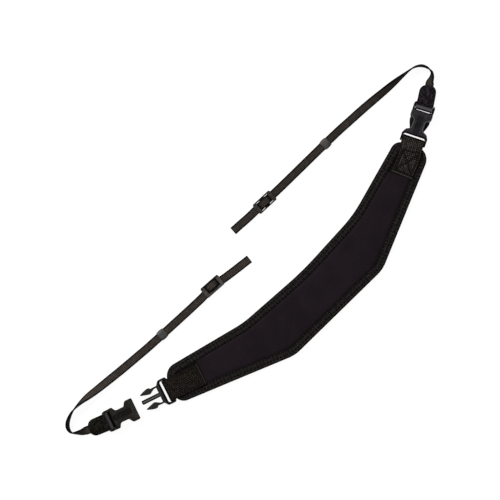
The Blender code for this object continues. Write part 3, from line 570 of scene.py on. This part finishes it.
def plastic_finish(name, face, wear_and_painted_light, roughness, specular, lip_shades=()):
    """Moulded plastic with a fine grain, with wear and a painted highlight on its upper edges, and painted
    shade on edges turned away, side walls, sunk floors and in the given bands.
    """
    finish = Finish(name, roughness, specular)
    edge = finish.stored("edge")
    cloud = finish.noise(5.0, 3.0)
    grain = finish.noise(0.25, 2.0)
    flecks = finish.noise(2.4, 1.0).step(0.4, 0.62)
    # wear and painted highlight where "edge" is above 0; painted shade where it is below 0 and in each band
    rubbed_and_highlit = edge.step(0.1, 1.0) * (0.6 + 0.4 * cloud)
    dark_face = (*(part * 0.8 for part in ink(*face)[:3]), 1.0)
    coats = [(flecks * MOTTLE, (8, 8, 8)), (rubbed_and_highlit, wear_and_painted_light), ((0.0 - edge).step(0.0, 1.0) * 0.95, (5, 5, 5))]
    for place, start, end, inner, outer, darkness in lip_shades:
        along, across = finish.placed(place)
        lip = along.between(start, end, LIP_FADE) * abs(across).between(inner, outer, LIP_FADE)
        coats.append((lip * darkness, (4, 4, 4)))
    finish.paint(cloud.step(0.3, 0.7), dark_face, face, *coats)
    finish.set("Roughness", roughness + 0.15 * cloud - 0.08 * rubbed_and_highlit)
    finish.bumps(grain + cloud * 0.3, 0.05, 0.6)
    return finish


# ---- Meshes ----
def add_object(name, data):
    made = bpy.data.objects.new(name, data)
    bpy.context.scene.collection.objects.link(made)
    return made


def add_piece(name, mesh, finish, body=STRAP, replaced=()):
    """Adds a mesh as a piece, standing for the solids it replaces."""
    piece = add_object(name, mesh)
    piece.data.materials.append(finish.material)
    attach(piece, body)
    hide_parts(*replaced)
    return piece


def store(mesh, name, values, domain="POINT"):
    """Keeps one number for each point or face of a mesh."""
    layer = mesh.attributes.new(name, "FLOAT", domain)
    layer.data.foreach_set("value", np.asarray(values, np.float32).ravel())


def closed_mesh(name, points, faces, chart=None):
    """A smooth mesh; chart gives each face corner's place on the cloth."""
    mesh = bpy.data.meshes.new(name)
    mesh.from_pydata(points.tolist(), [], faces)
    if chart is not None:
        layer = mesh.uv_layers.new(name="cloth")
        layer.data.foreach_set("uv", np.asarray(chart, np.float32).ravel())
    shape = bmesh.new()
    shape.from_mesh(mesh)
    bmesh.ops.recalc_face_normals(shape, faces=shape.faces)
    shape.to_mesh(mesh)
    shape.free()
    mesh.shade_smooth()
    return mesh


def tube_quads(rows, columns):
    """The corners of a tube's quads, where its points are counted row by row."""
    row, column = np.mgrid[0 : rows - 1, 0:columns].reshape(2, -1)
    here, beyond, after = row * columns, (row + 1) * columns, (column + 1) % columns
    return np.stack((here + column, beyond + column, beyond + after, here + after), axis=1)


def grid_mesh(name, points, chart, closed):
    """A tube over rows of points, its last row joined to the first if closed, or else capped.

    points is rows by columns by 3. chart, in millimetres, has a row more if closed.
    """
    rows, columns = points.shape[:2]
    corners = tube_quads(rows + closed, columns)
    faces = (corners % (rows * columns)).tolist()
    places = chart.reshape(-1, 2)[corners.ravel()]
    if not closed:
        caps = np.arange(columns) + np.array((0, rows - 1))[:, None] * columns
        faces += caps.tolist()
        places = np.vstack((places, chart.reshape(-1, 2)[caps.ravel()]))
    return closed_mesh(name, points.reshape(-1, 3), faces, places)


# ---- Sewing ----
def sewn(name, starts, ends, outs, finish, slot, radius=THREAD_RADIUS, proud=STITCH_PROUD):
    """Adds stitches from starts to ends, which go down into the cloth there, away from outs."""
    shares = np.array(STITCH_SHARES)
    shoulder = proud - STITCH_SHOULDER
    rises = np.array((-STITCH_DIVE, shoulder, proud, shoulder, -STITCH_DIVE)) * radius * MM
    sides = (np.arange(STITCH_SIDES) * math.tau / STITCH_SIDES)[:, None]
    starts, ends, outs = (np.asarray(part, float)[:, None, :] for part in (starts, ends, outs))
    across = unit(np.cross(unit(ends - starts), outs))
    middle = starts + (ends - starts) * shares[:, None] + outs * rises[:, None]
    spoke = across[:, :, None] * np.cos(sides) + outs[:, :, None] * np.sin(sides) * STITCH_FLATNESS
    points = middle[:, :, None] + spoke * radius * MM
    count, rings, around = points.shape[:3]
    first = np.arange(count)[:, None, None] * rings * around
    faces = (tube_quads(rings, around) + first).reshape(-1, 4).tolist()
    for ring in (0, rings - 1):
        faces += (ring * around + np.arange(around) + first[:, 0]).tolist()
    add_piece(name, closed_mesh(name, points.reshape(-1, 3), faces), finish)


def stitches(path, pitch, gap):
    """Starts and ends of the stitches along a path, a gap at each end as a share of the pitch."""
    path = np.array(path)
    at = covered(path)
    count = round(at[-1] / pitch)
    places = [(np.arange(count) + share) * at[-1] / count for share in (gap, 1.0 - gap)]
    return [sampled(path, at, where) for where in places]


def sew_through(name, band, starts, ends, thread, slot, radius, proud, depth=None):
    """Sews both plies of a folded band at places on it, in millimetres; depth shifts the cloth there."""
    for label, side in (("top", 1.0), ("under", -1.0)):
        made = []
        for places in (starts, ends):
            s, v = places.T * MM
            s = s if side > 0.0 else band.length - s
            points, out = band.at(s, v)
            raised = (depth(s, v) if depth else 0.0 * s) - (UNDER_SINK * MM if side < 0.0 else 0.0)
            made.append(points + out * raised[:, None])
        sewn(f"{name}_{label}", *made, out, thread, slot, radius, proud)


# ---- Pad ----
def outline(inset):
    """The pad's outline moved inwards, with the same points for each inset."""
    corners = [Vector(row[:2]) for row in PAD_CORNERS]
    arcs = []
    pieces = []
    for index, corner in enumerate(corners):
        radius = PAD_CORNERS[index][2]
        after = corners[(index + 1) % len(corners)]
        arriving = (corner - corners[index - 1]).normalized()
        leaving = (after - corner).normalized()
        turn = math.atan2(arriving.cross(leaving), arriving.dot(leaving))
        side = math.copysign(1.0, turn)
        bend = max(radius - side * inset, SMALLEST_RADIUS)
        normals = left_of(arriving) + left_of(leaving)
        inner = corner + normals * inset / (1.0 + arriving.dot(leaving))
        start = inner - arriving * bend * math.tan(abs(turn) / 2.0)
        centre = start + left_of(arriving) * side * bend
        facets = max(2, math.ceil(math.degrees(abs(turn)) / ARC_STEP))
        spokes = [Matrix.Rotation(turn * step / facets, 2) for step in range(facets + 1)]
        arcs.append([centre + spoke @ (start - centre) for spoke in spokes])
        pieces.append(math.ceil((after - corner).length / OUTLINE_SPACING))
    points = []
    for arc, following, count in zip(arcs, arcs[1:] + arcs[:1], pieces):
        points += arc
        points += [arc[-1].lerp(following[0], step / count) for step in range(1, count)]
    return np.array(points)


class PadOutline:
    """The pad's outline at any inset, in even steps, and where the pad is pressed flat."""

    def __init__(self):
        self.edge = outline(0.0)
        self.along = covered(np.vstack((self.edge, self.edge[:1])))
        self.length = self.along[-1]
        self.zigzags = round(self.length / ZIGZAG_PITCH)
        self.pitch = self.length / self.zigzags
        self.even = np.linspace(0.0, self.length, self.zigzags * ROWS_PER_ZIGZAG, endpoint=False)

    def ring(self, inset, where):
        """The points at an inset, at these distances along the edge."""
        points = outline(inset)
        return sampled(np.vstack((points, points[:1])), self.along, np.minimum(where, self.length))

    def pressed(self, points, end=PRESS_END, fade=PRESS_FADE):
        """1 as far as end from a buckle's bar, where a wide tab presses the pad flat, 0 elsewhere."""
        share = np.zeros(len(points))
        for x, y, turn in PAD_ENDS:
            along = (points - (x, y)) @ np.array(heading(turn))
            share = np.maximum(share, 1.0 - rise(along, end, fade))
        return share

    def inset_of(self, points):
        """How far each point lies inside the edge."""
        start = self.edge[None]
        span = np.roll(self.edge, -1, axis=0)[None] - start
        offset = points[:, None] - start
        share = np.clip((offset * span).sum(-1) / (span * span).sum(-1), 0.0, 1.0)
        return norm(offset - share[..., None] * span, axis=-1).min(axis=1)


def encloses(polygon, points):
    x, y = points[:, 0], points[:, 1]
    inside = np.zeros(len(points), bool)
    for (ax, ay), (bx, by) in zip(polygon, np.roll(polygon, -1, axis=0)):
        if ay != by:
            crossing = ax + (y - ay) * (bx - ax) / (by - ay)
            inside ^= ((ay > y) != (by > y)) & (x < crossing)
    return inside


def build_pad(edge, finish):
    """The foam pad, its middle standing above the border that the binding covers."""
    profile = np.array(PAD_PROFILE)
    insets = profile[:, 0]
    every = edge.even[::2]
    outlines = [edge.ring(inset, every) for inset in insets]
    limit = edge.ring(insets[-1] + PAD_GRID * 0.6, every)
    low, high = limit.min(axis=0), limit.max(axis=0)
    columns, rows = (np.arange(low[axis], high[axis], PAD_GRID) for axis in (0, 1))
    grid = np.stack(np.meshgrid(columns, rows), axis=-1)
    grid[1::2, :, 0] += PAD_GRID / 2.0
    grid = grid.reshape(-1, 2)
    grid = grid[encloses(limit, grid)]
    rim = outlines[-1]
    count = len(rim)
    loop = [(index, (index + 1) % count) for index in range(count)]
    flat = [Vector(point) for point in np.vstack((rim, grid))]
    _, _, triangles, sources, _, _ = geometry.delaunay_2d_cdt(flat, loop, [], 1, 1e-6)

    def raised(points, upper, inset, extra=0.0):
        free, under_tab = (np.interp(inset, insets, profile[:, at + upper]) for at in (1, 3))
        share = edge.pressed(points)
        return np.column_stack((points, free * (1.0 - share) + under_tab * share + extra))

    depth, pucker_inset, width = PAD_PUCKER
    wave = 0.5 - 0.5 * np.cos(math.tau * every / edge.pitch)
    rings = [raised(points, 0, inset) for inset, points in zip(insets[::-1], outlines[::-1])]
    for inset, points in zip(insets, outlines):
        rings.append(raised(points, 1, inset, -depth * wave * bell(inset - pucker_inset, width)))
    inset = edge.inset_of(grid)
    crown = PAD_CROWN * rise(inset, insets[-1], PAD_CROWN_INSET)
    below = raised(grid, 0, inset)
    above = raised(grid, 1, inset, crown * (1.0 - edge.pressed(grid)))
    points = np.vstack((*rings, below, above))
    faces = tube_quads(len(rings), count).tolist()
    inner = len(rings) * count
    for ring, first in ((0, inner), ((len(rings) - 1) * count, inner + len(grid))):
        for triangle in triangles:
            at = [sources[index][0] for index in triangle]
            faces.append([ring + index if index < count else first + index - count for index in at])
    mesh = closed_mesh("pad_neoprene", points * MM, faces)
    # painted shade beside a wide tab
    store(mesh, "painted_shading", edge.pressed(points[:, :2], WIDE_TAB_LENGTH, TAB_SHADE_FADE))
    pad = add_piece("pad_neoprene", mesh, finish, replaced=("pad",))


def binding_section():
    """Inset, height along the pad, height under a tab and which side, round the binding's section."""
    flap = (FLAP, 9.9, 9.4, 8.9, 8.3, 7.4, 6.6, 5.7, 5.0, 4.3, 3.6, 2.8)
    rows = [(inset, 5.0 - 0.3 * bell(inset - FLAP, 0.5), 4.8, 1.0) for inset in flap]
    for turn in np.radians(np.linspace(90.0, -90.0, 9)):
        inset = 1.9 - (1.9 + BINDING_FULLNESS) * math.cos(turn)
        share = 0.5 + 0.5 * math.sin(turn)
        rows.append((inset, 5.0 * share, 1.8 + 3.0 * share, math.sin(turn)))
    rows += [(inset, 0.0, 1.8, -1.0) for inset in flap[::-1]]
    rows += [(FLAP, 0.55, 2.35, 0.0), (6.0, 0.6, 2.4, 0.0), (2.0, 0.6, 2.4, 0.0)]
    rows += [(0.7, 2.5, 3.3, 0.0), (2.0, 4.5, 4.3, 0.0), (6.0, 4.5, 4.3, 0.0), (FLAP, 4.35, 4.35, 0.0)]
    return np.array(rows)


def build_binding(edge, finish, thread):
    """The stretch tape round the pad's edge, drawn in where the zigzag seam turns, and its stitches."""
    section = binding_section()
    depth, width = SEAM_GROOVE
    seam = zigzag_inset(edge.even / edge.pitch)
    columns = []
    for inset, free, under_tab, side in section:
        points = edge.ring(inset, edge.even)
        z = free + (under_tab - free) * edge.pressed(points) - side * depth * bell(inset - seam, width)
        for row, phase in ZIGZAG_ROWS:
            apart = np.hypot(from_turn(edge.even, edge.pitch, phase), inset - row)
            z = z - side * DIP_DEPTH * bell(apart, DIP_RADIUS)
        columns.append(np.column_stack((points, z)))
    along = np.append(edge.even, edge.length) * ZIGZAG_PITCH / edge.pitch
    chart = np.stack(np.broadcast_arrays(along[:, None], section[None, :, 0]), axis=-1)
    mesh = grid_mesh("binding_tape", np.stack(columns, axis=1) * MM, chart, closed=True)
    add_piece("binding_tape", mesh, finish, replaced=("edge_binding",))
    gap = BINDING_STITCH_GAP
    for label, up, free, under_tab in BINDING_STITCHES:
        turns = []
        for share in np.linspace(0.0, 1.0, 2 * ZIGZAG_STEPS + 1):
            flat = edge.ring(zigzag_inset(share), (np.arange(edge.zigzags) + share) * edge.pitch)
            z = free + (under_tab - free) * edge.pressed(flat)
            turns.append(np.column_stack((flat, z)) * MM)
        before, after = np.vstack(turns[:-1]), np.vstack(turns[1:])
        starts, ends = (before * (1.0 - part) + after * part for part in (gap, 1.0 - gap))
        outs = np.tile((0.0, 0.0, up), (len(starts), 1))
        sewn("binding_stitches_" + label, starts, ends, outs, thread, "stretch_binding")


# ---- Bands: webbing and tabs ----
def welded(node):
    shape = bmesh.new()
    shape.from_mesh(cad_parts[node].data)
    bmesh.ops.remove_doubles(shape, verts=shape.verts, dist=WELD)
    return shape


def cross_sections(node, order):
    """The corners of a band's cross-sections: left low, left high, right low, right high.

    They run from the end with the lowest order, where the band faces up.
    """
    shape = welded(node)
    ring = sorted(shape.verts, key=lambda vert: (round(order(vert.co), 6), vert.index))[:4]
    seen = set()
    sections = []
    while ring:
        seen.update(vert.index for vert in ring)
        sections.append(np.array([vert.co for vert in ring]))
        beside = {edge.other_vert(vert) for vert in ring for edge in vert.link_edges}
        ring = sorted((v for v in beside if v.index not in seen), key=lambda vert: vert.index)
    shape.free()
    middles = [section.mean(axis=0) for section in sections]
    facing = np.array((0.0, 0.0, 1.0))
    across = np.cross(facing, middles[1] - middles[0])
    ordered = []
    for section in sections:
        partner = 1 + np.argmin(norm(section[1:] - section[0], axis=1))
        pairs = (section[[0, partner]], np.delete(section, (0, partner), axis=0))
        pairs = sorted(pairs, key=lambda pair: pair.mean(axis=0) @ across)
        left, right = (pair[np.argsort(pair @ facing)] for pair in pairs)
        facing = left[1] - left[0] + right[1] - right[0]
        across = right.mean(axis=0) - left.mean(axis=0)
        ordered.append(np.vstack((left, right)))
    return np.array(ordered)


def catmull_rom(rows, step):
    """A smooth curve through rows, whose first three columns are a point, with points a step apart."""
    rows = np.vstack((2.0 * rows[0] - rows[1], rows, 2.0 * rows[-1] - rows[-2]))
    made = []
    for p0, p1, p2, p3 in zip(rows, rows[1:], rows[2:], rows[3:]):
        spans = [max(norm((b - a)[:3]), 1e-6) ** 0.5 for a, b in ((p0, p1), (p1, p2), (p2, p3))]
        t1, t2, t3 = np.cumsum(spans)
        count = max(1, round(norm((p2 - p1)[:3]) / step))
        t = (t1 + (t2 - t1) * np.arange(count) / count)[:, None]
        middle = p1 + (p2 - p1) * (t - t1) / (t2 - t1)
        before = p0 + (p1 - p0) * t / t1
        before += (middle - before) * t / t2
        after = p2 + (p3 - p2) * (t - t2) / (t3 - t2)
        after = middle + (after - middle) * (t - t1) / (t3 - t1)
        made.append(before + (after - before) * (t - t1) / (t2 - t1))
    return np.vstack((*made, rows[-2]))


class Band:
    """A flat band: its middle line in even steps, with the directions across it and out of it.

    Webbing starts at its free end, and a tab at the end of its upper ply.
    """

    def __init__(self, node, step):
        def order(at):
            tab = TAB_TURNS.get(node)
            return -at.xy.dot(heading(tab)) - 0.02 * at.z if tab else abs(at.x)

        self.node = node
        corners = cross_sections(node, order)
        left, right = corners[:, :2].mean(axis=1), corners[:, 2:].mean(axis=1)
        self.thickness = float(np.median(norm(corners[:, 1] - corners[:, 0], axis=1)))
        half = norm(right - left, axis=1)[:, None] / 2.0
        rows = np.hstack(((left + right) / 2.0, unit(right - left), half))
        fine = catmull_rom(rows, step * MM / 4.0)
        at = covered(fine[:, :3])
        self.length = float(at[-1])
        self.s = np.linspace(0.0, at[-1], 1 + round(at[-1] / (step * MM)))
        even = sampled(fine, at, self.s)
        self.middle = even[:, :3]
        self.half_width = even[:, 6]
        along = unit(np.gradient(self.middle, axis=0))
        self.facing = unit(np.cross(along, even[:, 3:6]))
        self.across = unit(np.cross(self.facing, along))

    def at(self, s, v):
        """Points on the outer face, s along and v across, and the way out there."""
        middle, across, facing = (
            sampled(part, self.s, s) for part in (self.middle, self.across, self.facing)
        )
        out = unit(facing)
        return middle + across * v[:, None] + out * self.thickness / 2.0, out


def add_band(band, name, finish, count, rounding, painted_shading, relief=None, shift=None, fuller=0.0):
    """Adds a band's whole surface, with count points across each face, keeping painted_shading and its own
    rim.

    For places along and across in metres, relief gives how far both faces stand out, and shift how far
    the whole section moves outwards. rounding is the edges' radius as a share of half the thickness.
    The rim is the distance from the edges in millimetres, less where the band stands on edge; the finishes
    paint shade near the edges from it.
    """
    half = band.thickness / 2.0
    corner = half * rounding
    turns = np.radians(np.linspace(0.0, 180.0, EDGE_STEPS))
    flat = np.linspace(-1.0, 1.0, count)[1:-1]
    level = np.zeros(len(flat))
    ends = np.ones(EDGE_STEPS)
    share = np.concatenate((flat, ends, flat[::-1], -ends))
    edge_out = np.concatenate((level, np.sin(turns), level, -np.sin(turns)))
    edge_up = np.concatenate((level + 1.0, np.cos(turns), level - 1.0, -np.cos(turns)))
    side = np.sign(np.round(edge_up, 6))
    v = share * (band.half_width[:, None] - corner) + edge_out * (corner + fuller)
    s = np.broadcast_to(band.s[:, None], v.shape)
    slim = 1.0 - END_SLIM[0] * bell(np.minimum(s, band.length - s), END_SLIM[1] * MM)
    w = side * (half - corner) * slim + edge_up * corner * slim
    if relief:
        w = w + side * relief(s, v) * (np.abs(edge_up) > 0.999)
    if shift:
        w = w + shift(s, v)
    middle, across, facing = (part[:, None] for part in (band.middle, band.across, band.facing))
    points = middle + across * v[..., None] + facing * w[..., None]
    mesh = grid_mesh(name, points, np.stack((s, v), axis=-1) / MM, closed=False)
    counts = np.maximum(np.abs(band.facing[:, 2:]), ON_EDGE_RIM)
    store(mesh, "rim", (band.half_width[:, None] - np.abs(v)) * counts / MM)
    store(mesh, "painted_shading", np.repeat(painted_shading, v.shape[1]))
    add_piece(name, mesh, finish, replaced=(band.node,))


def build_thin_webbing(side, finish):
    """Thin webbing with ribs across it, which dives under the slider's end bars, with painted shade there
    and where it stands on edge.
    """
    band = Band(side + "_webbing", THIN_RIB / 6.0)
    x, y, turn = SLIDERS[side]
    ahead = heading(turn)
    from_slider = np.abs((band.middle[:, :2] / MM - (x, y)) @ np.array(ahead))
    if side == "left":
        pull, half_length, fade = LEFT_SLIDER_PULL
        moved = pull * (1.0 - rise(from_slider, half_length, fade))
        band.middle[:, :2] += moved[:, None] * np.array(left_of(ahead)) * MM
    upright = 1.0 - np.abs(band.facing[:, 2:])

    def ribs(s, v):
        rib = (ridge(s, THIN_RIB * MM) - 1.0) * THIN_RIB_DEPTH * MM
        return rib + THIN_RIB_PROUD * MM + upright * ON_EDGE_FULLNESS * MM

    start, end = THIN_DIVE
    # painted shade where the webbing goes under the end bars and where it stands on edge
    dive_shade = rise(from_slider, *start) * (1.0 - rise(from_slider, *end))
    dive_shade = np.maximum(dive_shade, 1.0 - rise(np.abs(band.facing[:, 2]), 0.0, 0.95))
    slot = "thin_webbing"
    add_band(band, f"{side}_{slot}", finish, 11, 0.9, dive_shade, ribs, fuller=THIN_FULLNESS * MM)


def build_wide_tab(side, pitch, finish, thread):
    """Wide webbing folded round the bar, sewn through the pad with a box and a cross."""
    band = Band(side + "_wide_tab", pitch / 5.0)
    height, sunk = CORD_RELIEF

    def basket(s, v):
        return (basket_height(s / MM, v / MM, pitch) - sunk) * height * MM

    # painted shade round the bar
    shade_round_bar = 1.0 - rise(np.abs(band.s - band.length / 2.0) / MM, *WIDE_FOLD)
    count = 1 + 4 * round(2.0 * band.half_width[0] / (CORD * MM))
    add_band(band, side + "_tab_webbing", finish, count, 0.8, shade_round_bar, basket)
    near, far, half = BOX_STITCH
    corners = ((near, -half), (near, half), (far, half), (far, -half))
    seams = ((0, 1), (1, 2), (2, 3), (3, 0), (0, 2), (1, 3))
    made = [stitches((corners[first], corners[last]), BOX_PITCH, 0.1) for first, last in seams]
    starts, ends = (np.vstack(part) for part in zip(*made))
    sew_through(side + "_box_stitches", band, starts, ends, thread, "wide_webbing", 0.34, 0.2)


def build_connector(side, finish, thread):
    """The leather tab folded round a buckle's bar, its plies drawn together and sewn round the tip."""
    node = side + "_connector_tab"
    band = Band(node, 0.5)
    from_fold = np.abs(band.s - band.length / 2.0) / MM
    drawn_depth, drawn_width, drawn_fade = DRAWN_IN
    dimple, dimple_width = SEAM_DIMPLE
    ease, middle_ease, middle = TIP_EASE

    def seam_depth(s, v):
        from_tip = np.minimum(s, band.length - s) / MM
        to_side = (np.interp(s, band.s, band.half_width) - np.abs(v)) / MM
        edge = np.minimum(to_side, from_tip + ease + middle_ease * (np.abs(v) < middle * MM))
        off_bar = rise(np.interp(s, band.s, from_fold), *NEAR_BAR)
        drawn = (1.0 - rise(edge, drawn_width, drawn_fade)) * off_bar
        return -(drawn * drawn_depth + dimple * bell(edge - TAB_SEAM_INSET, dimple_width)) * MM

    ahead = np.array((*heading(TAB_TURNS[node]), 0.0))
    level = np.clip(-band.facing @ ahead, 0.0, 1.0)
    band.middle += band.facing * (FOLD_BULGE[side] * level)[:, None] * MM
    # wear and a painted highlight on top of the bend, painted shade (below 0) on its steep middle
    start, end, fade = FOLD_BAND[side]
    wear_and_painted_light = rise(from_fold, start, FOLD_START_FADE) * (1.0 - rise(from_fold, end, fade))
    wear_and_painted_light = wear_and_painted_light - (1.0 - rise(from_fold, start - 0.5, FOLD_START_FADE))
    add_band(band, side + "_grained_tab", finish, 41, 0.45, wear_and_painted_light, shift=seam_depth)
    inner = float(np.interp(12.0 * MM, band.s, band.half_width)) / MM - TAB_SEAM_INSET
    turns = np.radians(np.linspace(-90.0, 90.0, 13))
    arc = [(TAB_SEAM_TIP + inner - inner * math.cos(turn) * 0.98, inner * math.sin(turn)) for turn in turns]
    path = [(TAB_SEAM_END, -inner), *arc, (TAB_SEAM_END, inner)]
    starts, ends = stitches(path, TAB_SEAM_PITCH, 0.12)
    name = side + "_tab_stitches"
    sew_through(name, band, starts, ends, thread, "grained_tab", 0.3, 0.3, seam_depth)


# ---- Moulded pieces ----
def mark_edges(mesh):
    """Keeps for each face, as "edge", more than 0 where it gets wear and a painted highlight and less where
    it gets painted shade.
    """
    shape = bmesh.new()
    shape.from_mesh(mesh)
    shape.normal_update()
    bend = {}
    for vert in shape.verts:
        beside = [edge.other_vert(vert).co for edge in vert.link_edges]
        turns = [(vert.co - other).normalized().dot(vert.normal) for other in beside]
        bend[vert.index] = 8.0 * sum(turns) / len(turns)
    values = []
    for face in shape.faces:
        up = face.normal.z
        if face.material_index:
            share = sum(bend[vert.index] for vert in face.verts) / len(face.verts)
            share = min(max(share, -1.0), 1.0)
            values.append(share if share < 0.0 else RUBBED_AND_HIGHLIT * share if up > UPPER_EDGE else TURNED_AWAY)
        elif up > 0.99 and abs(face.calc_center_median().z - GROOVE_FLOOR * MM) < 1e-4:
            values.append(SUNK_FLOOR)
        else:
            values.append(SIDE_WALL if abs(up) < 0.3 else 0.0)
    shape.free()
    store(mesh, "edge", values, "FACE")
    mesh.polygons.foreach_set("material_index", [0] * len(mesh.polygons))


def mark_guide(mesh):
    """Marks the rib along the left prongs' guide for wear and a painted highlight, and the guide beside it
    for painted shade.
    """
    x, y, turn = LEFT_PRONGS
    ahead = heading(turn)
    start, half, rib_height = GUIDE
    values = mesh.attributes["edge"].data
    for face in mesh.polygons:
        place = face.center.xy / MM - Vector((x, y))
        if face.normal.z > 0.5 and place.dot(ahead) > start and abs(place.dot(left_of(ahead))) < half:
            values[face.index].value = 1.0 if face.center.z > rib_height * MM else -0.95


def add_moulding(node, shape, finish, body, kind, **settings):
    """Adds a solid's piece: the shape, rounded by a modifier of this kind, its edges marked."""
    name = node + "_moulding"
    plain = bpy.data.meshes.new(name)
    shape.to_mesh(plain)
    shape.free()
    plain.shade_smooth()
    for _ in ("faces", "rounded edges"):
        plain.materials.append(finish.material)
    blank = add_object(name, plain)
    modifier = blank.modifiers.new("rounding", kind)
    for key, value in settings.items():
        setattr(modifier, key, value)
    rounded = blank.evaluated_get(bpy.context.evaluated_depsgraph_get())
    mesh = bpy.data.meshes.new_from_object(rounded)
    bpy.data.objects.remove(blank)
    bpy.data.meshes.remove(plain)
    mesh.name = name
    mark_edges(mesh)
    mesh.materials.clear()
    add_piece(name, mesh, finish, body, (node,))
    return mesh


def build_moulded(node, finish, rounding):
    """A moulded piece in the shape of its solid, a little fuller, with its edges rounded."""
    shape = welded(node)
    if node.endswith("_slider"):
        side = node.split("_")[0]
        x, y, turn = SLIDERS[side]
        across = left_of(heading(turn))
        for vert in shape.verts:
            v = (vert.co.xy / MM - Vector((x, y))).dot(across)
            if SOLID_RAIL[0] < v < SOLID_RAIL[1]:
                vert.co.xy += across * (SLIDER_RAILS[side] - v) * MM
    shape.normal_update()
    outwards = [Vector((*vert.normal.xy, 0.0)) for vert in shape.verts]
    for vert, out in zip(shape.verts, outwards):
        if out.length > 0.1:
            vert.co += out.normalized() * FULLER * MM
    straight = math.radians(1.0)
    verts, edges = shape.verts, shape.edges
    bmesh.ops.dissolve_limit(shape, angle_limit=straight, verts=verts, edges=edges, delimit={"NORMAL"})
    settings = {"width": rounding * MM, "segments": 3, "limit_method": "ANGLE", "material": 1}
    settings.update(angle_limit=math.radians(BEVEL_FROM), harden_normals=True)
    mesh = add_moulding(node, shape, finish, STRAP, "BEVEL", **settings)
    if node == "left_prong_buckle":
        mark_guide(mesh)


def build_keeper(side, finish):
    """The oval ring that slides on the thin webbing."""
    node = side + "_keeper"
    shape = welded(node)
    limits = {"angle_face_threshold": math.pi, "angle_shape_threshold": math.pi}
    bmesh.ops.join_triangles(shape, faces=shape.faces, **limits)
    add_moulding(node, shape, finish, node + "_ring", "SUBSURF", levels=2)


def add_rib(name, place, path, finish, width, height, rubbed_and_highlit):
    """A half-round rib, with this much wear and painted highlight, on a socket's face along a path of u and
    v.
    """
    x, y, turn = place
    ahead = heading(turn)
    flat = (x, y) + path @ np.array((ahead, left_of(ahead)))
    line = np.column_stack((flat, np.full(len(flat), SOCKET_TOP)))
    up = np.array((0.0, 0.0, 1.0))
    across = unit(np.cross(unit(np.gradient(line, axis=0)), up))
    turns = np.radians(np.linspace(0.0, 360.0, RIB_SIDES, endpoint=False))[:, None]
    taper = np.ones(len(line))
    taper[[0, -1]] = 0.4
    offset = across[:, None] * np.cos(turns) * width / 2.0 + up * np.sin(turns) * height
    points = (line[:, None] + offset * taper[:, None, None]) * MM
    mesh = grid_mesh(name, points, np.zeros((len(line), RIB_SIDES, 2)), closed=False)
    store(mesh, "edge", [rubbed_and_highlit] * len(mesh.polygons), "FACE")
    add_piece(name, mesh, finish)


def build_socket_ribs(left, right):
    """Ribs along the left socket's mouth and round the right socket's side windows."""
    for number, (u, reach) in enumerate(MOUTH_RIBS):
        path = np.array([(u, v) for v in np.linspace(-reach, reach, 24)])
        add_rib(f"left_socket_rib_{number}", LEFT_SOCKET, path, left, 0.6, 0.3, 0.6)
    for number, side in enumerate((1.0, -1.0)):
        path = catmull_rom(np.array(WINDOW_RIM) * (1.0, side), 0.7)
        add_rib(f"right_socket_rim_{number}", RIGHT_SOCKET, path, right, 1.0, 0.34, 1.0)


# ---- The picture's floor, light and camera ----
def build_floor():
    mesh = bpy.data.meshes.new("floor")
    corners = [(x * FLOOR_REACH, y * FLOOR_REACH, 0.0) for x, y in ((-1, -1), (1, -1), (1, 1), (-1, 1))]
    mesh.from_pydata(corners, [], [(0, 1, 2, 3)])
    floor = add_object("floor", mesh)
    floor.location.z = -FLOOR_BELOW * MM
    finish = Finish("pale_floor", 0.9, 0.1)
    finish.paint(finish.noise(400.0), (0.13, 0.13, 0.13, 1.0), (0.15, 0.15, 0.15, 1.0))
    finish.set("Emission Color", (1.0, 1.0, 1.0, 1.0))
    finish.set("Emission Strength", FLOOR_GLOW)
    mesh.materials.append(finish.material)
    floor.visible_glossy = False


def add_light(name, size, energy, place):
    """A soft square light that faces the strap's middle."""
    data = bpy.data.lights.new(name, "AREA")
    data.shape = "SQUARE"
    data.size = size
    data.energy = energy
    light = add_object(name, data)
    light.location = place
    aim = Vector((*VIEW_MIDDLE, 0.0)) * MM - light.location
    light.rotation_euler = aim.to_track_quat("-Z", "Y").to_euler()


def build_light_and_camera():
    scene = bpy.context.scene
    world = bpy.data.worlds.new("studio")
    world.use_nodes = True
    background = world.node_tree.nodes["Background"]
    background.inputs["Color"].default_value = (1.0, 1.0, 1.0, 1.0)
    background.inputs["Strength"].default_value = DOME_LIGHT
    scene.world = world
    add_light("key", *KEY_LIGHT)
    add_light("fill", *FILL_LIGHT)
    data = bpy.data.cameras.new("camera")
    data.lens = LENS
    data.sensor_width = SENSOR
    data.clip_end = 50.0
    camera = add_object("camera", data)
    camera.location = Vector((*VIEW_MIDDLE, VIEW_WIDTH * LENS / SENSOR)) * MM
    camera.rotation_euler = (0.0, 0.0, math.radians(VIEW_ROLL))
    bpy.context.scene.camera = camera
    scene.view_settings.view_transform = "Standard"


def main():
    build_light_and_camera()
    build_floor()
    thread = thread_finish("thread", (14, 12, 12), (34, 31, 30))
    black_thread = thread_finish("black_thread", (6, 5, 5), (20, 18, 17))
    edge = PadOutline()
    build_pad(edge, neoprene_finish())
    build_binding(edge, binding_finish(), thread)
    for side, weave in WIDE_WEAVES.items():
        build_wide_tab(side, weave[1], wide_webbing_finish(*weave), black_thread)
    ring = plastic_finish("keeper_plastic", *RING_FINISH)
    plastics = {
        name: plastic_finish(name + "_plastic", face, wear_and_painted_light, BUCKLE_ROUGHNESS, BUCKLE_GLOSS, lip_shades)
        for name, (face, wear_and_painted_light, *lip_shades) in MOULDED.items()
    }
    for side in ("left", "right"):
        build_connector(side, grained_tab_finish(*LEATHERS[side]), black_thread)
        build_thin_webbing(side, thin_webbing_finish(*THIN_FINISHES[side]))
        build_keeper(side, ring)
        for kind, rounding in ROUNDINGS.items():
            build_moulded(side + kind, plastics[side + kind], rounding)
    build_socket_ribs(plastics["left_socket_buckle"], plastics["right_socket_buckle"])


main()
